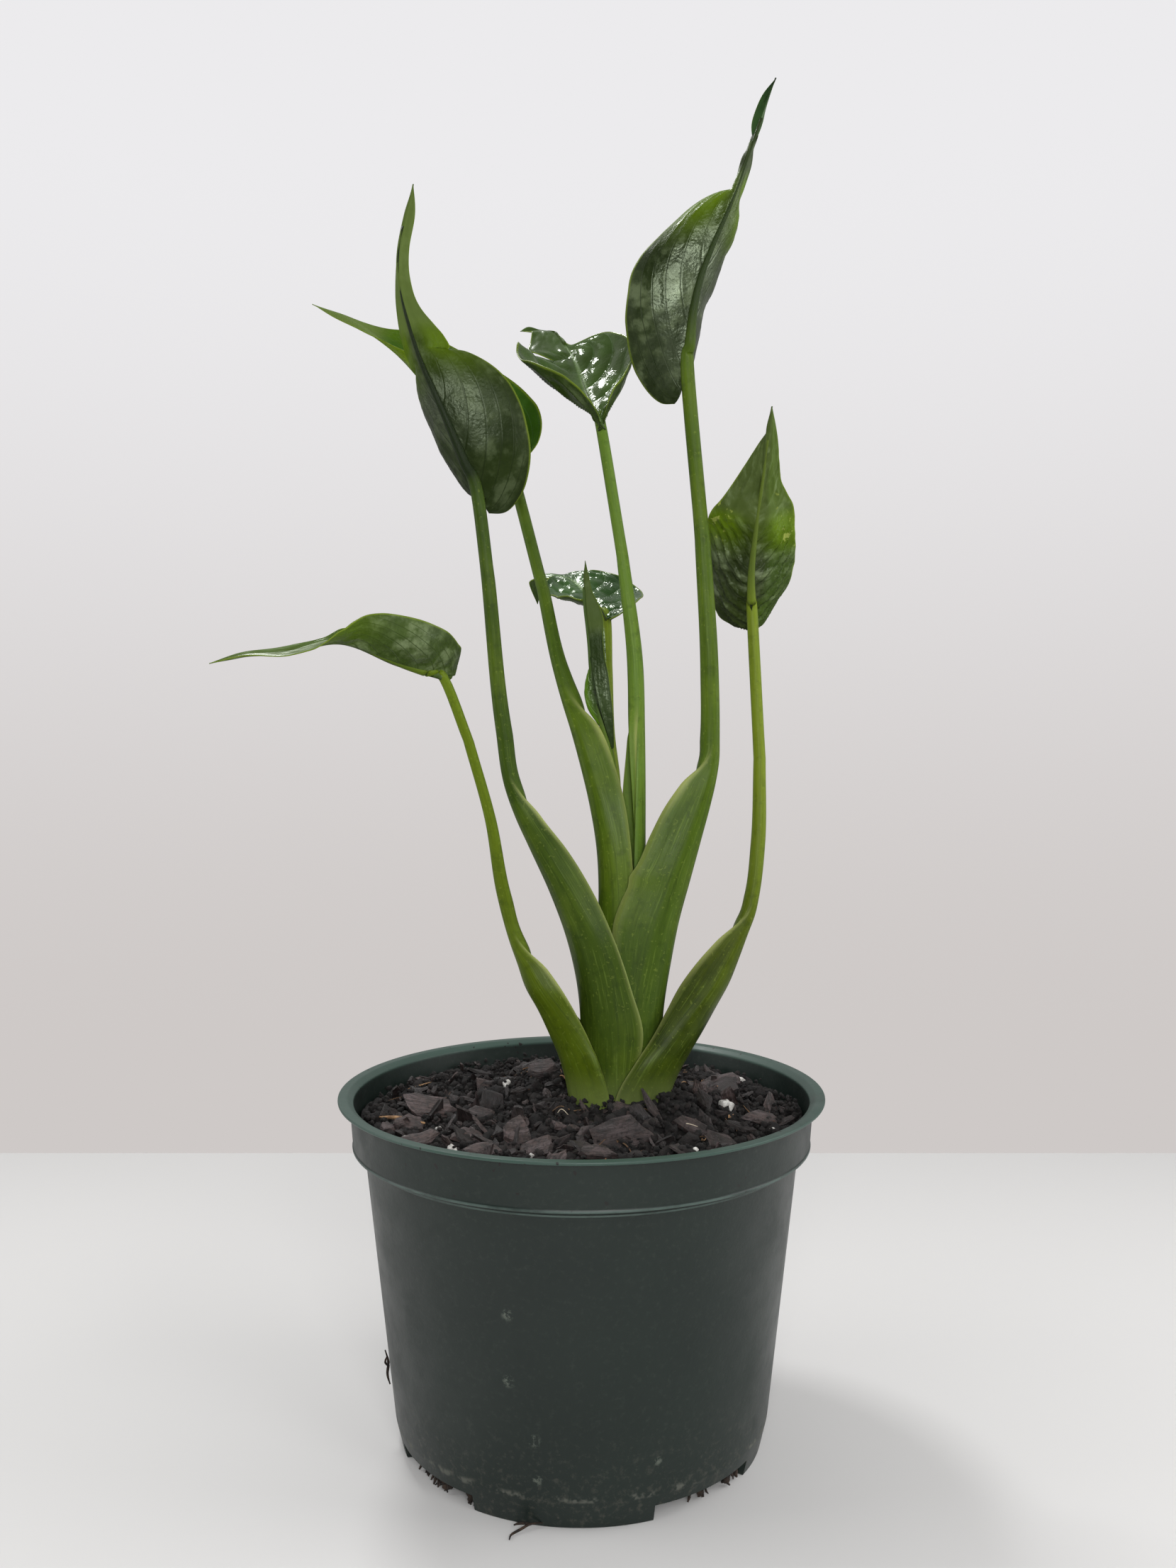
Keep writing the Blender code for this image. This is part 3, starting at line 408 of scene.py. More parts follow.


# %% [markdown]
# No formula gives the outline of a grown leaf. So the sheet gets its rough shape from a few
# angles, and its two edges are then drawn out to rows that were measured. What lies
# between an edge and the midrib follows smoothly.

# %% The eight leaves in numbers
# Each edge row: the place along the midrib, then how far the edge lies to the right of the
# midrib and above it, seen from the front, in millimetres. Many of the midrib's points are
# what a scratch script printed, as with the stalks further down: data and not a design.
BLADES = {
    "a": dict(
        midrib=((-43.9, -18, 257.4), (-58.1, -34, 261.5), (-74.1, -46, 267.0), (-90.1, -50, 263.2),
            (-102.6, -52.5, 262.0), (-111.5, -54, 259.2)),
        up_base=(-0.1, 0.35, 1), up_tip=(0.0, -0.9, 0.4), left=18, right=15,
        fold=(18, 20, 10), curl=62, waist=0.5,
        left_edge=((0, 1.9, 1), (0.04, 4.9, 4.1), (0.08, 8.3, 7.4), (0.13, 10.6, 8.4),
            (0.18, 11.2, 10.4), (0.24, 10.9, 11.2), (0.3, 9.4, 11.6), (0.35, 6.9, 11.1),
            (0.4, 4.9, 9.8), (0.44, 3.3, 7.8), (0.47, 2.4, 5.2), (0.5, 2.4, 2.8), (0.53, 2.2, 1.2),
            (0.56, 1.6, -0.5), (0.6, 0.8, -2), (0.65, 0, -2.1), (0.7, 0, -1.9), (0.8, 0, -1),
            (0.9, 0, -0.5), (1, 0, 0)),
        right_edge=((0, 1.5, 1), (0.1, 6.5, 6), (0.2, 9.5, 10), (0.3, 8, 11), (0.4, 3.5, 8.6),
            (0.5, 0.7, 3.8), (0.54, 1, 3.1), (0.58, 0.9, 1.7), (0.62, 1.4, 1.5), (0.7, 1.2, 1.8),
            (0.8, 0.8, 1), (0.9, 0.1, 0.5), (1, 0, 0)),
    ),
    "b": dict(
        midrib=((-33.4, -8.2, 317.0), (-43.2, -14, 340.4), (-54.2, -18, 366.5), (-58.8, -19, 387.8),
            (-54.8, -16, 417.5)),
        up_base=(0.28, 0.85, 0.35), up_tip=(0.45, 0.85, 0.1), left=24, right=25,
        fold=(12, 16, 30), curl=58, waist=0.42,
        left_edge=((0, 2, -3.7), (0.05, 9.9, -7), (0.1, 16.4, -6.8), (0.15, 21.1, -5.4),
            (0.2, 24.3, -2.9), (0.25, 25.6, -0.4), (0.3, 25, 2.7), (0.35, 22.4, 5.7), (0.4, 17.1, 6.8),
            (0.44, 12.3, 5.1), (0.465, 9.8, 1.9), (0.477, 7.9, 0.6), (0.49, 10.1, 0.2), (0.52, 10, 0.3),
            (0.56, 7.9, 0), (0.6, 5.6, -0.3), (0.65, 4.1, -1), (0.7, 3.4, -1), (0.8, 2.7, -0.6),
            (0.9, 2.6, 0), (1, 0, 0)),
        right_edge=((0, -3, 2.3), (0.05, -2.6, 0), (0.1, -3.8, -1.2), (0.15, -4, -1.9),
            (0.2, -4.9, -1.8), (0.25, -5.6, -1), (0.3, -5.4, -0.8), (0.35, -4.5, -0.7),
            (0.4, -3.1, -1.1), (0.43, -2.3, -1.3), (0.445, -1.2, -1), (0.457, -2.5, -2.2),
            (0.5, -3.4, -1.6), (0.55, -3.4, -1.8), (0.6, -3.2, -1.2), (0.7, -1.8, 0), (0.75, -0.9, 0),
            (0.8, -0.4, 0), (0.9, -0.2, 0), (1, 0, 0)),
    ),
    "c": dict(
        midrib=((-24.4, 25.7, 337.8), (-46.1, 26, 355.0), (-68.3, 25, 378.0), (-79.6, 22, 385.0),
            (-94.9, 18, 390.3)),
        up_base=(0.8, -0.2, 0.6), up_tip=(0.5, -0.3, 0.8), left=21, right=25,
        fold=(28, 28, 30), curl=58, waist=0.34,
        left_edge=((0, 2, 0), (0.05, 8, 3), (0.1, 11.5, 4), (0.2, 13.5, 6.5), (0.3, 10, 9),
            (0.4, 6, 7.5), (0.5, 2, 3.5), (0.6, 0.6, -0.2), (0.7, 0, -1.4), (0.8, 0, -2.4),
            (0.9, 0, -2.1), (1, 0, 0)),
        right_edge=((0, 5.8, 1.8), (0.05, 12.3, 3.5), (0.1, 17, 7.1), (0.15, 19.2, 10.8),
            (0.2, 19.5, 12.8), (0.25, 18.9, 14.4), (0.3, 16.9, 15.6), (0.4, 12.5, 15), (0.5, 8.4, 13.1),
            (0.6, 4.8, 9.9), (0.7, 1.2, 4.6), (0.8, 0.1, 1.5), (0.9, 0, 0.6), (1, 0, 0)),
    ),
    "d": dict(
        midrib=((6.9, 8, 344.6), (2.3, 27, 360.0), (-4.6, 48, 382.5), (-11.3, 60, 393.9),
            (-24.1, 66, 396.1)),
        up_base=(-0.2, -0.75, 0.7), up_tip=(-0.3, -0.75, 0.7), left=23, right=23,
        fold=(12, 0, 10), curl=74, waist=0.46,
        left_edge=((0, -0.7, 1.2), (0.04, -2.2, 3.4), (0.08, -6, 6.1), (0.13, -10.4, 8),
            (0.2, -15.9, 9.1), (0.28, -20.1, 9.5), (0.36, -22.9, 8.2), (0.42, -23.5, 9.1),
            (0.46, -22.6, 10.3), (0.5, -19.8, 5.5), (0.54, -14.7, 1.5), (0.58, -8.9, -1.3),
            (0.61, -5, -3), (0.64, -11, -1.1), (0.68, -14.4, -0.8), (0.74, -12.7, -0.7),
            (0.82, -9.1, 0), (0.9, -4.4, -0.5), (1, 0, 0)),
        right_edge=((0, 0.6, 2.2), (0.05, 3.1, 4.1), (0.1, 5.9, 5.9), (0.16, 9.4, 6.9), (0.22, 12.8, 9),
            (0.3, 16.2, 10.1), (0.36, 17, 11.4), (0.42, 16.7, 12.9), (0.48, 14.2, 12.5),
            (0.53, 10.9, 11.3), (0.57, 7.8, 9.1), (0.61, 4.2, 5.9), (0.64, 1, 3.2), (0.68, -1, 2.2),
            (0.74, -2.2, 0.2), (0.8, -2.8, 0.6), (0.88, -1.3, 0.4), (0.95, -1.3, 1.7), (1, 0, 0)),
    ),
    "e": dict(
        midrib=((34.6, 1.2, 357.8), (37.9, -5, 386.5), (50.8, -10, 417.8), (56.5, -11, 433.5),
            (64.0, -11, 454.3)),
        up_base=(-0.75, 0.6, 0.3), up_tip=(0.0, 1, 0.1), left=25, right=23,
        fold=(14, 20, 50), curl=62, waist=0.22,
        left_edge=((0, 2.6, 0), (0.1, 1.8, 0), (0.2, 2, 0.9), (0.3, 2.4, 0.7), (0.35, 2.4, -2.4),
            (0.4, 3, -1), (0.45, 3.2, -0.7), (0.5, 4.2, -1.3), (0.55, 3.9, -0.7), (0.6, 2.3, -0.5),
            (0.66, 2, -0.6), (0.72, 1.9, -0.4), (0.78, 0.2, 0), (0.85, -2.6, 0), (0.9, -2.9, 0),
            (0.95, -2.3, 0), (1, 0, 0)),
        right_edge=((0, -2.7, -6), (0.03, -7.2, -8.4), (0.07, -12.4, -8.4), (0.11, -16.4, -6.7),
            (0.16, -19.3, -4.9), (0.2, -20.9, -3.3), (0.25, -22.3, -2.1), (0.3, -22.6, -0.8),
            (0.35, -22.5, 0.6), (0.4, -20.7, 2), (0.45, -17.5, 3.5), (0.5, -13.8, 4.4),
            (0.54, -9.6, 5.4), (0.57, -6.1, 5.1), (0.595, -3.6, 3.5), (0.61, -1.5, 1.8),
            (0.625, -0.7, 0.2), (0.66, -0.9, -0.3), (0.7, -1.5, 0), (0.74, -1.6, 0), (0.79, 0.6, 0),
            (0.85, 0.9, -0.4), (0.9, 0.3, -0.4), (1, 0, 0)),
    ),
    "f": dict(
        midrib=((60.9, 21.6, 278.4), (59.4, 14, 293.0), (59.9, 5, 309.0), (61.6, -4, 328.0),
            (63.0, -12, 346.7)),
        up_base=(0.0, 0.85, 0.5), up_tip=(0.1, 1, 0.3), left=22, right=21,
        fold=(10, 14, 25), curl=60, waist=0.90,
        left_edge=((0, 1.5, -2.1), (0.03, 3.8, -2.7), (0.08, 6.4, -3.4), (0.13, 9.7, -1.4),
            (0.18, 12.5, -0.4), (0.24, 14.8, 1.2), (0.3, 16, 2.8), (0.36, 15.8, 2.9), (0.42, 14.5, 3.4),
            (0.47, 13.4, 4.2), (0.51, 12.1, 4.9), (0.56, 9.9, 4.3), (0.62, 7.3, 4.1), (0.7, 5.4, 3.7),
            (0.78, 4.3, 2.8), (0.85, 3.3, 1.2), (0.92, 1.9, 0.6), (1, 0, 0)),
        right_edge=((0, -1.2, -2.1), (0.03, -5, -2.2), (0.08, -9.8, -1.8), (0.14, -12.4, 0),
            (0.2, -13, 2.1), (0.28, -14, 3.3), (0.35, -15.1, 5.6), (0.42, -15.9, 5.9),
            (0.48, -15.1, 5.4), (0.54, -12.2, 4.7), (0.6, -9.6, 4.7), (0.67, -6.9, 4.6),
            (0.74, -4.1, 4.5), (0.82, -1.3, 3.7), (0.9, 0.1, 0.6), (1, 0, 0)),
    ),
    "g": dict(
        midrib=((9.4, 24, 280.8), (2.3, 38, 290.3), (-6.8, 52, 298.9), (-15.4, 58, 300.3),
            (-17.5, 62, 289.8)),
        up_base=(0.05, -0.45, 1), up_tip=(-0.7, -0.4, 0.6), left=17, right=17,
        fold=(6, 0, 20), curl=46, waist=0.40,
        left_edge=((0, -0.7, -0.4), (0.05, -2.2, 1.5), (0.12, -5.4, 1.4), (0.2, -9.3, 0.5),
            (0.3, -12.6, -1.1), (0.38, -13.4, -2.2), (0.46, -12.6, -1), (0.54, -9, 0.7),
            (0.6, -5.3, 0.5), (0.64, -5.7, -0.7), (0.7, -5.2, -1.8), (0.8, -4.8, -2.3), (0.9, -3, -0.8),
            (1, 0, 0)),
        right_edge=((0, 0.4, -0.8), (0.06, 5.1, -1), (0.12, 10.5, 0.1), (0.2, 16.3, 1), (0.27, 19, 1.3),
            (0.34, 18.6, 2.3), (0.4, 15.5, 4.3), (0.46, 11.7, 5), (0.52, 7.6, 4.8), (0.58, 3.7, 3.4),
            (0.63, 1.8, 2.1), (0.68, 1.8, 0.7), (0.8, 1.2, 0.3), (0.9, 1, -0.4), (1, 0, 0)),
    ),
    "h": dict(
        midrib=((10.6, 7.8, 233.6), (4.6, 7, 256.0), (3.0, 7, 272.0), (1.6, 8, 284.0), (1.3, 9, 298.9)),
        up_base=(1, 0, 0), up_tip=(1, 0, 0), left=7, right=7,
        fold=(78, 78, 75), curl=5, waist=0.80,
        left_edge=((0, 0.6, 0.6), (0.1, 2.4, 0), (0.2, 4, 0.3), (0.3, 4.9, 0.4), (0.4, 5.1, 0.4),
            (0.5, 4.4, 0), (0.6, 4.5, 0), (0.66, 5.2, 0.3), (0.7, 5.3, 0.3), (0.78, 4, 0),
            (0.85, 2.3, -0.8), (0.92, 1.1, 0), (1, 0, 0)),
        right_edge=((0, 0.6, 0.6), (0.1, 2.0, 0), (0.2, 3.4, 0.3), (0.3, 4.2, 0.4), (0.4, 4.8, 0.3),
            (0.5, 5.0, -0.5), (0.58, 5.2, -0.4), (0.64, 5.2, 0.8), (0.7, 4.8, 0.3), (0.78, 3.6, 0),
            (0.85, 2, -0.6), (0.92, 0.9, 0), (1, 0, 0)),
        swell=((0, 0), (0.1, 1.4), (0.2, 4.6), (0.3, 5), (0.4, 3), (0.48, 0.4), (0.6, 0), (1, 0)),
    ),
}
FORMS = {letter: Blade(**values) for letter, values in BLADES.items()}
print("leaf lengths mm:", {letter: round(form.length) for letter, form in FORMS.items()})

# %% [markdown]
# ## Veins and quilting
#
# Side veins leave the midrib and curve towards the edge, and the blade between them swells
# up like quilting. The pattern is worked out once for the mesh, where it lifts the sheet,
# and once in the material, where it draws the fine lines, so both use the same rule: the
# place along the cup, moved forward towards the edge, times the number of veins.

# %% The rule of the side veins
# How many side veins a cup has, and how far each swings forward on its way to the edge.
CROSS_VEINS = (7.0, 0.22)
LONG_VEINS = (3.4, 1.5)
VEIN_CURVE = 1.4
# The half width at which the sheet swells fully, and the size of its small domes, in mm.
WIDE_ENOUGH = 9.0
CELL_SIZE = 4.2
LUMPS_PER_MM = 0.09
LUMPS_ACROSS = 1.5
DOME_REACH = 0.7


def quilting(form, u, s, far, seed, lift, lumps, cells, veins):
    """How far the sheet swells between its veins, in millimetres, for rows u, columns s.

    lift, lumps and cells are the heights of the pads between veins, of broad lumps and of
    small domes.
    """
    count, swing = veins
    phase = count * (u[:, None] / form.waist - swing * np.abs(s)[None, :] ** VEIN_CURVE)
    swell = np.sqrt(np.abs(np.sin(np.pi * phase)))
    cup = 1 - smooth_step((u / form.waist - 0.80) / 0.35)
    reach = np.abs(s)
    between = smooth_step((reach - 0.02) / 0.22) * (1 - smooth_step((reach - 0.72) / 0.28))
    room = np.clip(far / WIDE_ENOUGH, 0, 1) ** 1.3
    high = lift * swell * cup[:, None] * between[None, :] * room
    for i, row in enumerate(u):
        for j, column in enumerate(s):
            at = Vector((row * form.length * LUMPS_PER_MM, column * LUMPS_ACROSS, seed))
            wave = noise.noise(at) + 0.35 * noise.noise(at * 2.3)
            on_sheet = Vector((row * form.length / CELL_SIZE, column * form.left / CELL_SIZE, seed))
            nearest = noise.voronoi(on_sheet)[0][0]
            dome = max(0.0, 1 - (nearest / DOME_REACH) ** 2)
            high[i, j] += (lumps * wave + cells * dome) * room[i, j] * min(1.0, reach[j] * 6)
    return high


# %% [markdown]
# A leaf is a plain grid. Every vertex of the grid is moved to its place on the form, the
# whole sheet is extruded, and the second layer is moved under the first by the thickness,
# with a round rib under the midrib. The grid's own rows and columns are kept as a UV map.

# %% Making a leaf
LEAF_COLUMNS = 64
LEAF_ROWS = 128
EDGE_THICKNESS = 0.35
MID_THICKNESS = 0.75
THINNER_TIP = 0.75
RIPPLES = 9
RIPPLE_SEED = 3.0


def leaf(letter, paint, seed, veins, lift=0.5, lumps=0.35, cells=0.1, ribbing=1.5, rib_width=1.5, wave=0.4):
    """Lay one leaf on its form. Rows are closer near the base, columns near the edges."""
    form = FORMS[letter]
    row = np.linspace(0, 1, LEAF_ROWS + 1)
    u = 0.55 * row + 0.45 * row * row
    column = np.linspace(-1, 1, LEAF_COLUMNS + 1)
    s = np.sign(column) * (0.72 * np.abs(column) + 0.28 * np.abs(column) ** 0.5)
    base = form.lay(u, s)
    out = unit(np.cross(np.gradient(base, axis=1), np.gradient(base, axis=0)))
    middle = base[:, LEAF_COLUMNS // 2][:, None]
    left_half = np.linalg.norm(base[:, :1] - middle, axis=2)
    right_half = np.linalg.norm(base[:, -1:] - middle, axis=2)
    far = np.where(s[None, :] > 0, right_half, left_half)
    high = quilting(form, u, s, far, seed, lift, lumps, cells, veins)
    edge = smooth_step((np.abs(s) - 0.7) / 0.3)
    sides = [RIPPLE_SEED if b > 0 else -RIPPLE_SEED for b in s]
    ripple = np.array([[noise.noise(Vector((a * RIPPLES, side, seed))) for side in sides] for a in u])
    high += wave * edge[None, :] * ripple * np.clip(far / WIDE_ENOUGH, 0, 1)
    upper = base + out * high[:, :, None]
    from_rib = np.linalg.norm(base - middle, axis=2)
    rib = ribbing * (1 - 0.8 * u)[:, None] * np.exp(-(from_rib / (rib_width * (1 - 0.7 * u)[:, None])) ** 2)
    thin = EDGE_THICKNESS + (MID_THICKNESS - EDGE_THICKNESS) * (1 - np.abs(s) ** 3)[None, :]
    ending = (1 - smooth_step((u - 0.9) / 0.1) * THINNER_TIP)[:, None]
    lower = upper - out * ((thin + rib) * ending)[:, :, None]

    bm = bmesh.new()
    bmesh.ops.create_grid(bm, x_segments=LEAF_COLUMNS, y_segments=LEAF_ROWS, size=1.0)
    under_side = bm.verts.layers.float.new("under")
    extruded = bmesh.ops.extrude_face_region(bm, geom=bm.faces[:])["geom"]
    second = {item for item in extruded if isinstance(item, bmesh.types.BMVert)}
    places = {vert: cell(vert, LEAF_ROWS, LEAF_COLUMNS) for vert in bm.verts}
    leaf_map = bm.loops.layers.uv.new("leaf")
    for face in bm.faces:
        for loop in face.loops:
            i, j = places[loop.vert]
            loop[leaf_map].uv = (0.5 + s[j] / 2, u[i])
    for vert, (i, j) in places.items():
        is_under = vert in second
        vert[under_side] = 1.0 if is_under else 0.0
        vert.co = Vector(lower[i, j] if is_under else upper[i, j])
    return piece(bm, "leaf_" + letter, paint, ["blade_" + letter])


# %% [markdown]
# ## Leaf finishes
#
# The upper side is dark, wet-looking green, the under side is paler and silvery between
# fine dark veins, and the thin edge is yellow-green where light comes through. On the under
# side the raised pads get a painted sheen and the hollows between them painted shade, and
# the waist is painted yellow-green as painted light coming through the blade. The vein lines
# are drawn from the UV map with the same rule as the quilting. A little translucent shader
# under the glossy one lets the light from behind shine into the blade.

# %% The vein lines as a shared group
PLEATS = 7.0


def vein_group():
    """Masks of the midrib, the side veins, the edge and pleats, from the leaf's UV map."""
    group = bpy.data.node_groups.new("leaf veins", "ShaderNodeTree")
    group.interface.new_socket("Place", in_out="INPUT", socket_type="NodeSocketVector")
    for name in ("Waist", "Count", "Swing"):
        group.interface.new_socket(name, in_out="INPUT", socket_type="NodeSocketFloat")
    for name in ("Midrib", "Veins", "Edge", "Reach", "Pleats"):
        group.interface.new_socket(name, in_out="OUTPUT", socket_type="NodeSocketFloat")
    given = group.nodes.new("NodeGroupInput").outputs
    masks = group.nodes.new("NodeGroupOutput").inputs
    parts = node(group, "SeparateXYZ", {0: given["Place"]})
    signed = maths(group, "MULTIPLY_ADD", parts.outputs[0], 2.0, -1.0)
    reach = maths(group, "ABSOLUTE", signed)
    share = maths(group, "DIVIDE", parts.outputs[1], given["Waist"])
    curved = maths(group, "POWER", reach, VEIN_CURVE)
    swing = times(group, curved, given["Swing"])
    phase = times(group, maths(group, "SUBTRACT", share, swing), given["Count"])
    away = maths(group, "PINGPONG", phase, 0.5)
    line = fade(group, away, 0.01, 0.07, 1.0, 0.0)
    cup = fade(group, share, 0.80, 1.12, 1.0, 0.0)
    inner = fade(group, reach, 0.80, 0.98, 1.0, 0.0)
    side = times(group, maths(group, "GREATER_THAN", signed, 0.0), PLEATS)
    bent = maths(group, "MULTIPLY_ADD", curved, -1.8, times(group, share, PLEATS))
    beside = node(group, "CombineXYZ", {0: bent, 1: times(group, reach, 1.4), 2: side}).outputs[0]
    group.links.new(fade(group, reach, 0.012, 0.06, 1.0, 0.0), masks["Midrib"])
    group.links.new(times(group, line, cup, inner), masks["Veins"])
    group.links.new(fade(group, reach, 0.955, 0.995), masks["Edge"])
    group.links.new(reach, masks["Reach"])
    group.links.new(speckle(group, beside, 1.5, 4.0), masks["Pleats"])
    return group


VEIN_GROUP = vein_group()


# %% [markdown]
# The finish is built from the bottom up: the upper side, the under side, which of the two
# shows, then what both share. Coats lie over each other as mask and colour. The glossy
# patches of the under side come from a noise that feeds the shader's specular level.

# %% The leaf finish
SHEEN = rgb(226, 242, 208)
EDGE_GREEN = rgb(118, 138, 40)
LIGHT_THROUGH = 0.14


def leaf_paint(name, waist, veins, upper, under, shine=0.16, under_shine=0.27, mottle_and_sheen=0.4, glow=0.0,
               lance_glow=0.0, fleck=0.0, wrinkle=1.0, bump=0.3, mirror=0.45, under_mirror=0.6,
               ridge=0.35, brighter_half=0.0, brighter_half_span=(0.50, 0.60), pleated=0.1):
    """Glossy green above, silvery olive below, with veins, a pale edge and painted light at the waist.

    shine and under_shine are roughness, mirror and under_mirror the strength of highlights.
    mottle_and_sheen, glow, lance_glow, fleck, ridge and brighter_half say how much of a coat
    shows: pale mottle with a painted sheen on the raised pads, painted light at the waist, a
    paler tip that is partly painted light coming through, pale dots, the dark midrib, and one
    half painted brighter, partly its own paler green and partly painted light. wrinkle and
    pleated shape the relief, and pleated also places the painted sheen and the painted shade
    in its hollows; bump is the relief's strength.
    """
    paint, tree, output = new_material(name)
    place = node(tree, "TexCoord").outputs["Object"]
    on_leaf = node(tree, "UVMap", uv_map="leaf").outputs[0]
    across, along = node(tree, "SeparateXYZ", {0: on_leaf}).outputs[:2]
    wanted = {"Place": on_leaf, "Waist": waist, "Count": veins[0], "Swing": veins[1]}
    lines = node(tree, "Group", wanted, node_tree=VEIN_GROUP).outputs
    is_under = from_mesh(tree, "under")
    share = maths(tree, "DIVIDE", along, waist)
    broad = speckle(tree, place, 55.0, 4.0)
    fine = speckle(tree, place, 260.0, 4.0, 0.6)
    tiny = speckle(tree, place, 1300.0, 2.0)
    wrinkles = speckle(tree, place, 120.0, 5.0, 0.62)
    uneven = mix_value(tree, pleated, wrinkles, lines["Pleats"])

    light_upper = mix_colour(tree, 0.35, upper, rgb(78, 112, 56))
    dark_upper = mix_colour(tree, 0.45, upper, rgb(10, 22, 12))
    top = layered(
        tree, mix_colour(tree, fade(tree, broad, 0.35, 0.7), dark_upper, light_upper),
        (times(tree, lines["Veins"], 0.35), rgb(78, 108, 60)),
        (times(tree, lines["Midrib"], 0.6), rgb(116, 146, 82)))

    dark_under = mix_colour(tree, 0.45, under, rgb(16, 24, 10))
    pale_under = mix_colour(tree, 0.35, under, rgb(112, 126, 84))
    painted_sheen_under = mix_colour(tree, 0.70, under, rgb(128, 142, 104))
    low = layered(
        tree, mix_colour(tree, fade(tree, broad, 0.36, 0.68), dark_under, under),
        (fade(tree, fine, 0.45, 0.8, 0.0, mottle_and_sheen), pale_under),
        # Painted sheen: the raised pads of the relief are painted paler. Painted shade: its hollows are
        # painted darker.
        (fade(tree, uneven, 0.50, 0.68, 0.0, mottle_and_sheen), painted_sheen_under),
        (fade(tree, uneven, 0.34, 0.48, 0.55, 0.0), dark_under),
        (times(tree, lines["Veins"], 0.9), dark_under),
        (times(tree, lines["Midrib"], ridge), rgb(20, 30, 12)),
        # Painted light: one half of the blade is painted brighter yellow-green, partly the paler green that
        # half shows.
        (fade(tree, across, *brighter_half_span, 0.0, brighter_half), rgb(96, 138, 16)))

    # The drip tip is painted paler: partly its own paler green, partly painted light coming through it.
    lance = fade(tree, share, 0.98, 1.12, 0.0, lance_glow)
    sideways = fade(tree, lines["Reach"], 0.1, 0.6, 0.25, 1.0)
    # Painted light: the waist is painted yellow-green where light would come through the blade.
    painted_backlit_waist = times(tree, band(tree, share, 0.62, 0.95, 1.0, 1.15), glow, sideways)
    zone = times(tree, band(tree, share, 0.72, 0.86, 1.2, 1.35), fade(tree, lines["Reach"], 0.45, 0.7),
                 fade(tree, is_under, 0.0, 1.0, 0.5, 1.0))
    dots = times(tree, fade(tree, speckle(tree, place, 420.0, 2.0), 0.60, 0.66), zone, fleck)
    colour = layered(
        tree, mix_colour(tree, is_under, top, low), (lance, rgb(112, 132, 66)), (painted_backlit_waist, rgb(100, 128, 14)),
        (dots, rgb(150, 162, 76)), (times(tree, lines["Edge"], 0.8), EDGE_GREEN))

    wet = fade(tree, fine, 0.3, 0.8, shine, shine + 0.10)
    satin = fade(tree, fine, 0.3, 0.8, under_shine, under_shine + 0.10)
    beyond = fade(tree, share, 0.98, 1.15)
    rim = times(tree, fade(tree, lines["Reach"], 0.78, 0.94), is_under)
    rough = mix_value(tree, is_under, wet, satin)
    for mask, rougher in ((beyond, 0.16), (lines["Midrib"], 0.3), (rim, 0.35)):
        rough = maths(tree, "MULTIPLY_ADD", mask, rougher, rough)
    patches = fade(tree, speckle(tree, place, 34.0), 0.38, 0.66, under_mirror * 0.35, under_mirror * 1.25)
    in_middle = times(tree, fade(tree, share, 0.66, 0.84, 1.0, 0.3), fade(tree, share, 0.24, 0.52, 0.45, 1.0))
    polish = times(tree, patches, in_middle)
    shiny = mix_value(tree, is_under, mirror, polish)

    pores = node(tree, "TexVoronoi", {"Vector": place, "Scale": 950.0}).outputs[0]
    relief = maths(tree, "MULTIPLY_ADD", fine, 1.2, times(tree, pores, 0.30))
    for height, weight in ((tiny, 0.2), (uneven, 1.9 * wrinkle), (lines["Veins"], -0.7)):
        relief = maths(tree, "MULTIPLY_ADD", height, weight, relief)
    flatter = maths(tree, "MULTIPLY_ADD", beyond, -0.9 * bump, bump)
    looks = {"Specular IOR Level": shiny, "Specular Tint": SHEEN}
    gloss = shader_of(tree, colour, rough, relief, flatter, 0.0009, looks)
    through = node(tree, "BsdfTranslucent", {"Color": mix_colour(tree, 0.5, colour, rgb(110, 150, 20))})
    both = node(tree, "MixShader", {0: LIGHT_THROUGH, 1: gloss, 2: through.outputs[0]})
    tree.links.new(both.outputs[0], output.inputs[0])
    return paint


# %% Making the eight leaves
UPPER_GREEN = rgb(32, 60, 30)
# Leaves whose side veins differ from the usual: how many, and how far they swing.
OWN_VEINS = {"a": (6.0, 0.9), "d": (5.5, 0.3), "f": (7.0, 0.6), "g": CROSS_VEINS}
LEAF_LOOKS = {
    "a": dict(lift=0.2, lumps=0.7, cells=0.25),
    "b": dict(lift=0.2, lumps=0.8, cells=0.06, ribbing=1.0, rib_width=1.3),
    "c": dict(lift=0.3, lumps=0.4, wave=0.15),
    "d": dict(lift=1.4, lumps=0.5, cells=0.25, ribbing=1.0, rib_width=1.4, wave=0.2),
    "e": dict(lift=0.2, lumps=0.7, cells=0.10, ribbing=1.0, rib_width=1.3),
    "f": dict(lift=1.6, lumps=1.6, cells=0.5, ribbing=1.0, rib_width=1.3, wave=0.3),
    "g": dict(lift=0.5, lumps=0.4, cells=0.6, wave=0.3),
    "h": dict(lift=0.1, lumps=0.5, cells=0.3, ribbing=0.5, rib_width=0.8, wave=0.2),
}
